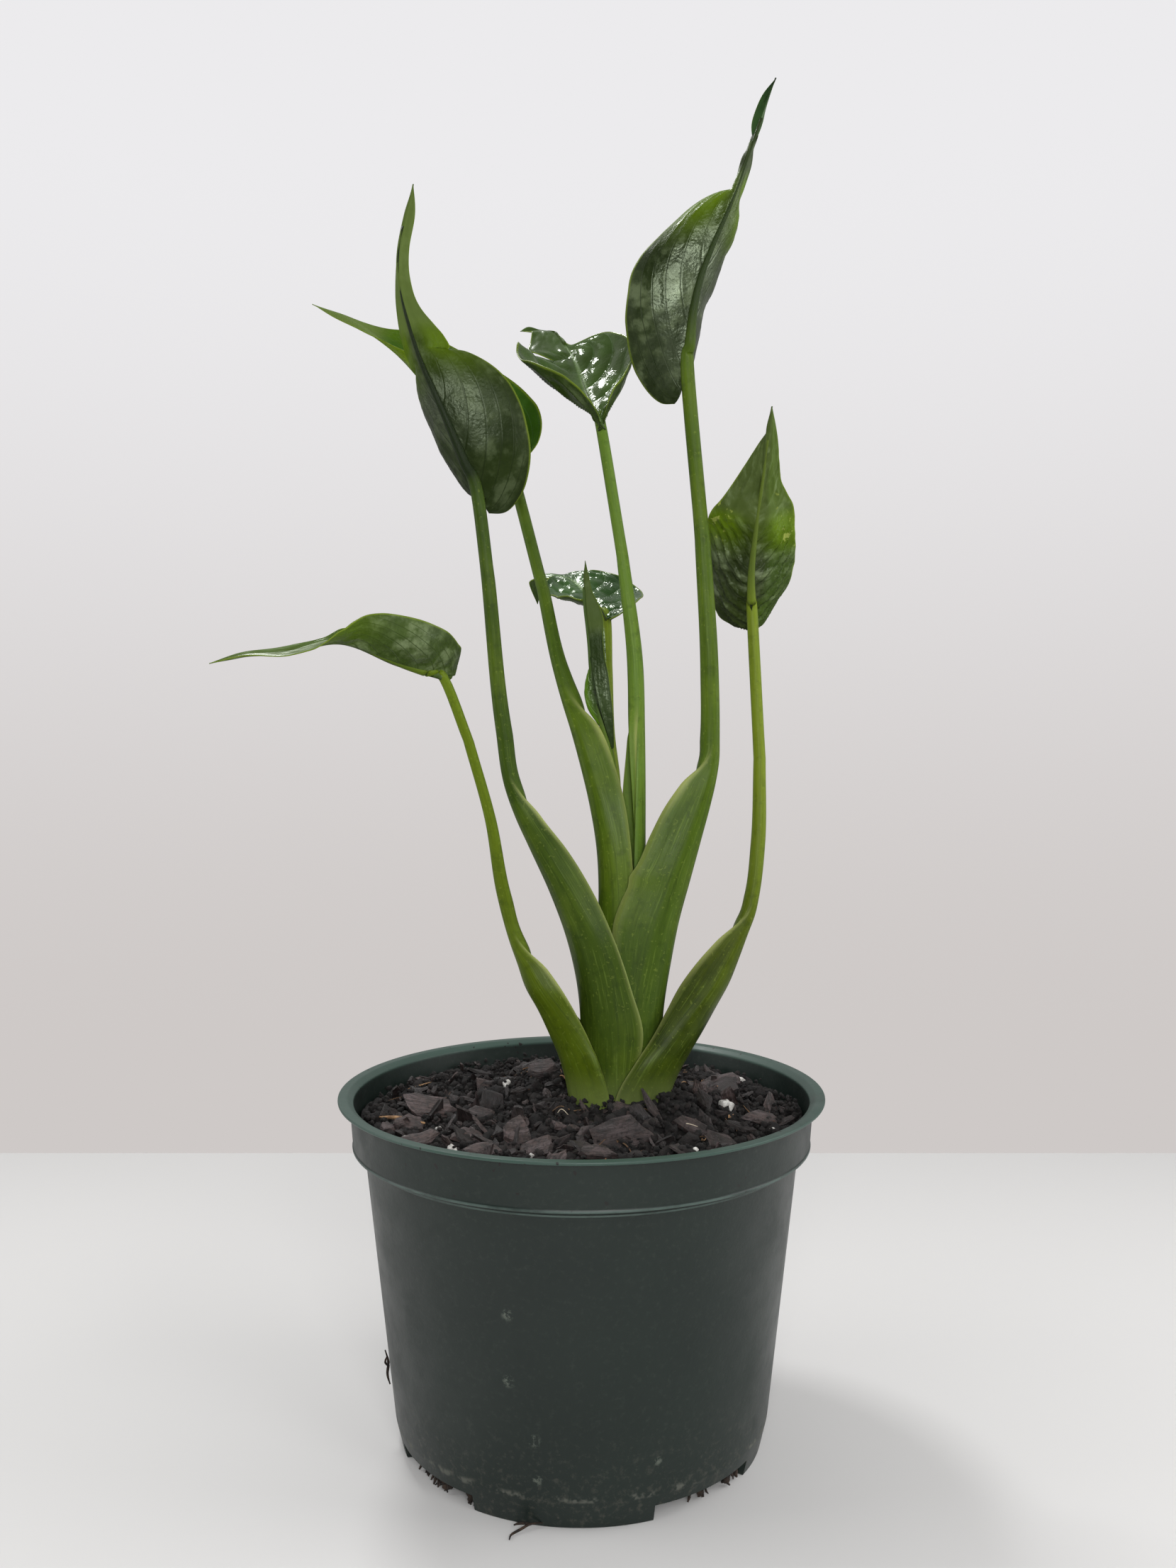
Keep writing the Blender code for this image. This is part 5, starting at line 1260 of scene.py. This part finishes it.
def cut_away(target, cutters):
    """Cut every cutter out of the target, and keep only the target."""
    group = bpy.data.collections.new("cutters")
    bpy.context.scene.collection.children.link(group)
    for cutter in cutters:
        group.objects.link(cutter)
    cut = target.modifiers.new("cut", "BOOLEAN")
    cut.operand_type = "COLLECTION"
    cut.collection = group
    bpy.context.view_layer.update()
    graph = bpy.context.evaluated_depsgraph_get()
    finished = bpy.data.meshes.new_from_object(target.evaluated_get(graph))
    target.modifiers.remove(cut)
    target.data = finished
    for cutter in cutters:
        bpy.data.objects.remove(cutter, do_unlink=True)
    bpy.data.collections.remove(group)


# %% Making the pot
EDGE_ROUNDING = 0.45
SHARP_FROM = 35
bm = bmesh.new()
spun(bm, rounded(pot_profile, EDGE_ROUNDING), POT_STEPS)
pot = piece(bm, "pot_shell", pot_paint(), ["pot"], SHARP_FROM)
cutters = []
for middle, width in NOTCHES:
    cutters.append(arc_block(FOOT_RADIUS - 6, FOOT_RADIUS + 6, -1, NOTCH_HEIGHT, middle, width))
    cutters.append(arc_block(*SLOT_RADII, floor_low - 1, FLOOR_TOP_Z + 1, middle, SLOT_WIDTH))
cut_away(pot, cutters)
pot.data.shade_smooth()
pot.data.set_sharp_from_angle(angle=math.radians(SHARP_FROM))
print("pot faces after cutting:", len(pot.data.polygons))

# %% [markdown]
# ## Potting mix
#
# The mix is moist peat and composted bark. Its top rises to the stems and is covered in
# flat purplish bark chips, crumbs, a few white perlite beads and fibres. The bed is one
# closed plug, and each kind of loose stuff is one piece made of many small closed shapes.

# %% Height of the mix
SOIL_EDGE_Z = 108.3
SOIL_MOUND_Z = 114.0
SOIL_ROUGHNESS = 2.3
BROAD_LUMPS = 0.075
SMALL_LUMPS = 0.2
# Low heaps in the mix: x, y, radius and height.
HEAPS = ((-14.0, 20.0, 28.0, 5.0), (32.0, -15.0, 17.0, 3.0), (-12.0, -20.0, 14.0, 1.5),
         (30.0, 34.0, 16.0, 2.5))
SOIL_MOUND_RADIUS = 62.0
STEM_X = 12.9
STEM_Y = 5.0
MIX_GAP = 0.45
BED_RADIUS = BAND_FOOT_RADIUS - POT_WALL - MIX_GAP


def soil_height(x, y):
    """Top of the mix: low at the wall, mounded to the stem, and lumpy."""
    from_stem = math.hypot(x - STEM_X, y - STEM_Y)
    share = float(smooth_step(1 - from_stem / SOIL_MOUND_RADIUS))
    lumps = noise.noise(Vector((x, y, 3.0)) * BROAD_LUMPS)
    lumps += 0.5 * noise.noise(Vector((x, y, 9.0)) * SMALL_LUMPS)
    heap = 0.0
    for middle_x, middle_y, radius, height in HEAPS:
        heap += height * float(smooth_step(1 - math.hypot(x - middle_x, y - middle_y) / radius))
    return SOIL_EDGE_Z + (SOIL_MOUND_Z - SOIL_EDGE_Z) * share + heap + SOIL_ROUGHNESS * lumps


# %% Finishes of the mix
def toned(tree, colour, gain, least):
    """Brighten or darken a colour by the tone of each loose shape."""
    value = maths(tree, "MULTIPLY_ADD", from_mesh(tree, "tone"), gain, least)
    return node(tree, "HueSaturation", {"Color": colour, "Value": value}).outputs[0]


def mix_paint(name, dark, light, scale, rough=0.85, bump=0.8):
    """Two earthy tones in cloudy noise, varied by the tone of each loose shape."""
    paint, tree, output = new_material(name)
    place = node(tree, "TexCoord").outputs["Object"]
    broad = speckle(tree, place, scale, 5.0, 0.65)
    fine = speckle(tree, place, scale * 6, 4.0, 0.6)
    colour = toned(tree, mix_colour(tree, fade(tree, broad, 0.32, 0.72), dark, light), 0.9, 0.6)
    colour = mix_colour(tree, fade(tree, fine, 0.55, 0.8, 0.0, 0.4), colour, light)
    relief = maths(tree, "MULTIPLY_ADD", fine, 0.8, broad)
    tree.links.new(shader_of(tree, colour, rough, relief, bump, 0.001), output.inputs[0])
    return paint


def bark_paint():
    """Purplish brown with bands and grain along each chip, and dark dust on top."""
    paint, tree, output = new_material("bark_chips")
    place = node(tree, "TexCoord").outputs["Object"]
    on_chip = node(tree, "UVMap", uv_map="chip").outputs[0]
    grain = speckle(tree, stretched(tree, on_chip, 5.0, 34.0), 1.0, 4.0, 0.6)
    bands = speckle(tree, stretched(tree, on_chip, 2.0, 9.0), 1.0)
    patches = speckle(tree, on_chip, 4.0, 4.0, 0.6)
    dust = speckle(tree, place, 900.0, 3.0, 0.7)
    colour = layered(
        tree, mix_colour(tree, fade(tree, patches, 0.35, 0.65), rgb(31, 23, 21), rgb(74, 60, 57)),
        (fade(tree, bands, 0.45, 0.62, 0.0, 0.7), rgb(88, 76, 76)),
        (fade(tree, grain, 0.48, 0.62, 0.0, 0.55), rgb(28, 19, 17)))
    colour = toned(tree, colour, 1.05, 0.28)
    colour = mix_colour(tree, fade(tree, dust, 0.48, 0.66, 0.0, 0.75), colour, rgb(20, 14, 12))
    rough = fade(tree, patches, 0.35, 0.7, 0.46, 0.70)
    relief = maths(tree, "MULTIPLY_ADD", grain, 0.8, times(tree, bands, 1.2))
    relief = maths(tree, "MULTIPLY_ADD", dust, 0.25, relief)
    tree.links.new(shader_of(tree, colour, rough, relief, 0.9, 0.0010), output.inputs[0])
    return paint


BED_PAINT = mix_paint("mix_bed", rgb(8, 6, 5), rgb(24, 18, 16), 220.0)
CRUMB_PAINT = mix_paint("mix_crumbs", rgb(6, 5, 4), rgb(28, 20, 18), 300.0)
BARK_PAINT = bark_paint()
PERLITE_PAINT = mix_paint("perlite", rgb(150, 147, 142), rgb(222, 220, 215), 500.0, 0.9, 0.7)
FIBRE_PAINT = mix_paint("fibres", rgb(84, 58, 38), rgb(150, 118, 84), 400.0, 0.8, 0.3)
ROOT_PAINT = mix_paint("pale_roots", rgb(150, 138, 116), rgb(206, 196, 176), 400.0, 0.7, 0.2)
DARK_ROOT_PAINT = mix_paint("dark_roots", rgb(18, 13, 10), rgb(62, 46, 34), 500.0, bump=0.4)

# %% The bed
BED_RINGS = 64
BED_STEPS = 200
BED_TONE = 0.2
bed_profile = [
    (0, FLOOR_THICKNESS + MIX_GAP), (DISH_INNER_RADIUS - 1.1, FLOOR_THICKNESS + MIX_GAP),
    (DISH_OUTER_RADIUS - 1.1, FLOOR_TOP_Z + MIX_GAP),
    (FOOT_EDGE_RADIUS - POT_WALL - 0.7, FLOOR_TOP_Z + MIX_GAP),
    (WALL_TOP_RADIUS - POT_WALL - MIX_GAP, WALL_TOP_Z + 1.0),
    (BED_RADIUS - 0.25, BAND_FOOT_Z + 1.2),
]
bed_profile += [(BED_RADIUS * (1 - i / BED_RINGS), SOIL_EDGE_Z) for i in range(BED_RINGS + 1)]
bm = bmesh.new()
tone = bm.verts.layers.float.new("tone")
spun(bm, bed_profile, BED_STEPS)
for vert in bm.verts:
    if abs(vert.co.z - SOIL_EDGE_Z) < 0.01:
        x, y = vert.co.x, vert.co.y
        rough = noise.noise(Vector((x, y, 1.0)) * 0.33) + 0.7 * noise.noise(Vector((x, y, 5.0)) * 0.8)
        vert.co.z = soil_height(x, y) + 0.9 * rough
    vert[tone] = BED_TONE
piece(bm, "mix_bed", BED_PAINT, ["potting_mix"])

# %% [markdown]
# Bark chips are flat flakes that broke across the grain: a few-sided outline, thickened,
# with its corners pushed about a little. Crumbs and perlite beads are small balls pushed
# out of round. Every shape gets its own tone, so that neighbours differ.

# %% Shapes of the loose stuff
LOOSE = bpy.data.meshes.new("loose")


def new_pile():
    """An empty mesh that carries a tone for each vertex and a map of each chip."""
    pile = bmesh.new()
    pile.verts.layers.float.new("tone")
    pile.loops.layers.uv.new("chip")
    return pile


def add_shape(pile, shape, tone_value, pose, place):
    """Turn and place one finished shape, give it one tone, and add it to the pile."""
    layer = shape.verts.layers.float["tone"]
    bmesh.ops.rotate(shape, verts=shape.verts, cent=(0, 0, 0), matrix=pose)
    bmesh.ops.translate(shape, verts=shape.verts, vec=place)
    for vert in shape.verts:
        vert[layer] = tone_value
    bmesh.ops.recalc_face_normals(shape, faces=shape.faces)
    shape.to_mesh(LOOSE)
    shape.free()
    pile.from_mesh(LOOSE)


def flake(pile, rng, length, width, thick, pose, place, tone_value, corners):
    """A flat flake of bark: a few straight broken sides, thickened in two split layers."""
    shape = new_pile()
    ring = bmesh.ops.create_circle(shape, segments=corners * 2, radius=1.0, cap_ends=True)["verts"]
    face = ring[0].link_faces[0]
    order = sorted(ring, key=lambda vert: math.atan2(vert.co.y, vert.co.x))
    for k in range(0, len(order), 2):
        angle = 2 * math.pi * (k / len(order) + rng.uniform(-0.035, 0.035))
        reach = rng.uniform(0.72, 1.12)
        order[k].co = Vector((math.cos(angle) * length / 2 * reach, math.sin(angle) * width / 2 * reach, 0))
    for k in range(1, len(order), 2):
        middle = (order[k - 1].co + order[(k + 1) % len(order)].co) / 2
        order[k].co = middle * rng.uniform(0.88, 1.06)
    bend = rng.uniform(-0.6, 1.2) * thick
    for share, narrow in ((rng.uniform(0.5, 0.8), 0.96), (rng.uniform(0.15, 0.4), rng.uniform(0.7, 0.92))):
        lifted = bmesh.ops.extrude_face_region(shape, geom=[face])["geom"]
        top = [item for item in lifted if isinstance(item, bmesh.types.BMVert)]
        face = [item for item in lifted if isinstance(item, bmesh.types.BMFace)][0]
        shift = Vector((rng.uniform(-1, 1) * length, rng.uniform(-1, 1) * width, 0)) * 0.05
        for vert in top:
            vert.co.x = vert.co.x * narrow * rng.uniform(0.94, 1.0) + shift.x
            vert.co.y = vert.co.y * narrow * rng.uniform(0.94, 1.0) + shift.y
            vert.co.z += thick * share * rng.uniform(0.85, 1.15)
    chip_map = shape.loops.layers.uv["chip"]
    start = Vector((rng.uniform(0, 40), rng.uniform(0, 40)))
    for facet in shape.faces:
        for loop in facet.loops:
            loop[chip_map].uv = Vector((loop.vert.co.x, loop.vert.co.y + loop.vert.co.z)) / 20 + start
    for vert in shape.verts:
        vert.co.z += bend * (2 * vert.co.x / length) ** 2
    add_shape(pile, shape, tone_value, pose, place)


def lump(pile, rng, radius, pose, place, tone_value, subdivisions=1, uneven=0.35):
    """A small ball pushed out of round."""
    shape = new_pile()
    ball = bmesh.ops.create_icosphere(shape, subdivisions=subdivisions, radius=radius)["verts"]
    shift = Vector((rng.uniform(0, 50), rng.uniform(0, 50), rng.uniform(0, 50)))
    flat = Vector((rng.uniform(0.7, 1.2), rng.uniform(0.7, 1.2), rng.uniform(0.5, 0.95)))
    for vert in ball:
        push = 1 + uneven * noise.noise(vert.co * (1.4 / radius) + shift)
        vert.co = Vector((vert.co.x * flat.x, vert.co.y * flat.y, vert.co.z * flat.z)) * push
    add_shape(pile, shape, tone_value, pose, place)


def posed(heading, lean, roll):
    """Roll a shape, lean it, then turn it round Z."""
    about = (("Z", heading), ("Y", lean), ("X", roll))
    z_turn, y_turn, x_turn = [Matrix.Rotation(angle, 3, axis) for axis, angle in about]
    return z_turn @ y_turn @ x_turn


def any_turn(rng, tilt):
    """Any heading, with a lean and a roll of no more than the tilt."""
    return posed(rng.uniform(0, 2 * math.pi), rng.uniform(-tilt, tilt), rng.uniform(-tilt, tilt))


def any_place(rng, nearest, farthest):
    """A place on the mix between the stem and the wall."""
    while True:
        x = rng.uniform(-farthest, farthest)
        y = rng.uniform(-farthest, farthest)
        if math.hypot(x, y) < farthest and math.hypot(x - STEM_X, y - STEM_Y) > nearest:
            return x, y


# %% Bark chips
CHIPS = 330
MOSTLY_LEFT = 0.45
rng = random.Random(21)
pile = new_pile()
for i in range(CHIPS):
    length = rng.choice((rng.uniform(2, 5), rng.uniform(3, 8), rng.uniform(6, 12), rng.uniform(10, 19)))
    x, y = any_place(rng, 16 + length * 0.4, 74.5 - length * 0.5)
    if x > 5 and rng.random() < MOSTLY_LEFT:
        x = -x
    width = length * rng.uniform(0.28, 0.7)
    lie = soil_height(x, y) + rng.uniform(-0.8, 3.0)
    pose = any_turn(rng, rng.choice((0.4, 0.9, 1.4)))
    thick = rng.uniform(0.7, 2.0)
    tone_value = rng.random() ** 1.5
    flake(pile, rng, length, width, thick, pose, (x, y, lie), tone_value, rng.choice((4, 5, 6)))
piece(pile, "bark_chips", BARK_PAINT, sharp=28)

# %% Chips that stand out
# Each chip: x, y, length, width, how it turns, leans and rolls in degrees, and its tone.
STANDING_CHIPS = (
    (-52.0, -5.0, 21.0, 11.0, 4, 8, 26, 1.0),
    (-56.0, -24.0, 13.0, 8.0, 20, 12, 34, 0.7),
    (-21.0, -36.0, 12.0, 12.0, 35, 4, 52, 0.9),
    (-13.0, -50.0, 15.0, 10.0, -30, -22, 44, 0.8),
    (-36.0, -38.0, 13.0, 8.0, 15, 10, 40, 0.7),
    (-34.0, -12.0, 11.0, 7.0, -15, 8, 30, 0.4),
    (-50.0, -46.0, 15.0, 7.0, 20, -8, 34, 0.8),
    (-62.0, -30.0, 9.0, 7.0, 65, 10, 25, 0.6),
    (12.5, -42.0, 22.0, 15.0, 12, -8, 62, 0.45),
    (36.0, -32.0, 16.0, 7.0, -30, 20, 30, 0.5),
    (60.0, -18.0, 20.0, 7.0, 30, 16, 30, 0.9),
    (50.0, 20.0, 19.0, 9.0, 10, -16, 38, 0.7),
    (44.0, -46.0, 13.0, 6.0, -35, 6, 34, 0.4),
    (25.0, 26.0, 15.0, 8.0, 20, 8, 40, 0.6),
    (-14.0, 14.0, 14.0, 9.0, -20, -10, 40, 0.5),
    (-30.0, -56.0, 12.0, 7.0, 10, 0, 30, 0.8),
    (4.0, -60.0, 14.0, 7.0, -10, 4, 28, 0.6),
)
pile = new_pile()
for x, y, length, width, heading, lean, roll, tone_value in STANDING_CHIPS:
    pose = posed(math.radians(heading), math.radians(lean), math.radians(roll))
    lie = soil_height(x, y) + 3.0
    flake(pile, rng, length, width, rng.uniform(1.2, 2.0), pose, (x, y, lie), tone_value, 7)
piece(pile, "standing_chips", BARK_PAINT, sharp=32)

# %% Crumbs and perlite
CRUMBS = 4200
CLODS = 420
rng = random.Random(5)
pile = new_pile()
for i in range(CRUMBS):
    size = rng.choice((rng.uniform(0.35, 0.7), rng.uniform(0.5, 1.1), rng.uniform(0.8, 1.6)))
    x, y = any_place(rng, 10, 75.0 - size)
    lie = soil_height(x, y) + rng.uniform(-0.4, 3.2)
    lump(pile, rng, size, any_turn(rng, 1.0), (x, y, lie), rng.random() * 0.8)
for i in range(CLODS):
    size = rng.uniform(1.4, 3.2)
    x, y = any_place(rng, 11, 74.0 - size)
    lump(pile, rng, size, any_turn(rng, 1.0), (x, y, soil_height(x, y) + 0.6), rng.random() * 0.7, 2, 0.8)
piece(pile, "crumbs", CRUMB_PAINT)

# Perlite beads: x, y and radius.
BEADS = ((49.0, -8.0, 2.9), (-27.0, 18.0, 2.0), (-55.0, -37.0, 1.7), (-40.0, -46.0, 1.8), (62.0, -28.0, 1.5),
         (-15.0, -52.0, 1.2), (-46.0, -27.0, 1.2), (20.0, 48.0, 2.2), (-20.0, 55.0, 1.8), (58.0, 30.0, 1.6),
         (-60.0, 12.0, 1.5), (8.0, 66.0, 1.4), (35.0, -52.0, 1.1))
pile = new_pile()
for x, y, size in BEADS:
    lump(pile, rng, size, any_turn(rng, 1.0), (x, y, soil_height(x, y) + 1.7), rng.uniform(0.5, 1.0), 3, 0.45)
piece(pile, "perlite", PERLITE_PAINT)

# %% [markdown]
# Fibres, a twig and fine roots are thin tubes. Each follows a few points of a smooth
# line, and its round sections are laid across that line, as the stalk's were.

# %% Thin tubes
TUBE_SIDES = 6
TUBE_STEPS = 14


def tube(pile, points, radius, tone_value):
    """A thin closed tube along a smooth line, tapered at both ends."""
    knots = np.linspace(0, 1, len(points))
    at = np.linspace(0, 1, TUBE_STEPS + 1)
    line = flow(knots, np.array(points, float), at)
    ahead = unit(np.gradient(line, axis=0))
    shape = new_pile()
    grid = bmesh.ops.create_grid(shape, x_segments=TUBE_SIDES, y_segments=TUBE_STEPS, size=1.0)["verts"]
    for vert in grid:
        i, j = cell(vert, TUBE_STEPS, TUBE_SIDES)
        along = Vector(ahead[i])
        side = along.cross(Vector((0.1, 0.2, 1.0))).normalized()
        up = side.cross(along)
        angle = 2 * math.pi * (j % TUBE_SIDES) / TUBE_SIDES
        thick = radius * (0.35 + 0.65 * math.sin(math.pi * min(max(at[i], 0.08), 0.92)))
        vert.co = Vector(line[i]) + (side * math.cos(angle) + up * math.sin(angle)) * thick
    close_tube(shape)
    add_shape(pile, shape, tone_value, Matrix.Identity(3), (0, 0, 0))


# %% Fibres, a twig and fine roots
FIBRES = 46
rng = random.Random(9)
pile = new_pile()
for i in range(FIBRES):
    x, y = any_place(rng, 18, 68)
    heading = rng.uniform(0, 2 * math.pi)
    length = rng.uniform(5, 15)
    bend = rng.uniform(-0.6, 0.6)
    line = []
    for share in (0, 1 / 3, 2 / 3, 1):
        t = (share - 0.5) * length
        px = x + t * math.cos(heading + bend * share)
        py = y + t * math.sin(heading + bend * share)
        px, py = (px, py) if math.hypot(px, py) < 74 else (x, y)
        line.append((px, py, soil_height(px, py) + 2.0 + rng.uniform(-0.5, 1.0)))
    tube(pile, line, rng.uniform(0.12, 0.3), rng.random())
tube(pile, [(-67, -16, 111.4), (-60, -20, 112.2), (-51, -24, 111.6)], 0.7, 0.9)
piece(pile, "fibres", FIBRE_PAINT)

pile = new_pile()
tube(pile, [(-8.5, -22, 113.2), (-6.5, -24, 116.2), (-4.0, -25, 114.4)], 0.16, 0.8)
tube(pile, [(30, -30, 112.5), (34, -33, 114.0), (39, -34, 112.6)], 0.14, 0.8)
piece(pile, "fine_roots", ROOT_PAINT)

# %% [markdown]
# Roots have found the drain notches. Tufts of short dark tubes hang out there, and a longer
# one lies on the table at the front.

# %% Root tufts
# Each tuft: its angle round the pot in degrees, how far out it hangs, and its strands.
TUFTS = ((224.0, 60.8, 7), (214.0, 60.2, 5), (238.0, 60.8, 6), (322.0, 61.0, 6), (309.0, 60.0, 4),
         (50.0, 60.6, 4), (132.0, 60.6, 4))
TUFT_SPREAD = 3.5
ROOT_REACH = 1.2
# Single roots: the points of each line, its radius and its tone.
SINGLE_ROOTS = (
    (((-11.0, -60.4, 1.2), (-15.0, -61.6, 1.5), (-18.0, -63.4, 0.9), (-20.5, -65.2, 0.5),
      (-21.0, -67.5, 0.4)), 0.4, 0.5),
    (((-14.0, -61.0, 1.2), (-18.0, -62.0, 2.0), (-20.0, -61.6, 1.2)), 0.45, 0.2),
    (((-64.9, -9.5, 18.5), (-65.7, -9.7, 22.0), (-65.4, -9.5, 26.0), (-66.5, -9.3, 30.0)), 0.5, 0.2),
    (((-65.2, -9.0, 24.0), (-66.4, -9.7, 26.0), (-65.9, -9.5, 28.0)), 0.4, 0.4),
)
rng = random.Random(12)
pile = new_pile()
for angle, radius, strands in TUFTS:
    for i in range(strands):
        turned = math.radians(angle + rng.uniform(-TUFT_SPREAD, TUFT_SPREAD))
        top = rng.uniform(3.6, 5.0)
        line = []
        for k in range(4):
            reach = radius - 1.5 + ROOT_REACH * k / 3 + rng.uniform(-0.5, 0.5)
            turned += rng.uniform(-0.02, 0.02)
            drop = top * (1 - k / 3) + 0.5 + rng.uniform(0, 0.5)
            line.append(round_pot(reach, turned, drop))
        tube(pile, line, rng.uniform(0.35, 0.7), rng.random() * 0.6)
    for i in range(strands):
        turned = math.radians(angle + rng.uniform(-TUFT_SPREAD, TUFT_SPREAD))
        place = round_pot(radius - 0.5, turned, rng.uniform(2.2, 4.4))
        lump(pile, rng, rng.uniform(0.6, 1.3), any_turn(rng, 1.0), place, rng.random() * 0.5, 2, 0.9)
for line, radius, tone_value in SINGLE_ROOTS:
    tube(pile, line, radius, tone_value)
piece(pile, "drain_roots", DARK_ROOT_PAINT)

# %% [markdown]
# ## The corm
#
# The corm is buried, so its solid stays as it is and only gets a finish: brown, scaly and
# matte.

# %% Corm finish
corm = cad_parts["corm"]
corm.data.materials.clear()
corm.data.materials.append(mix_paint("corm_skin", rgb(74, 52, 34), rgb(126, 96, 66), 160.0))
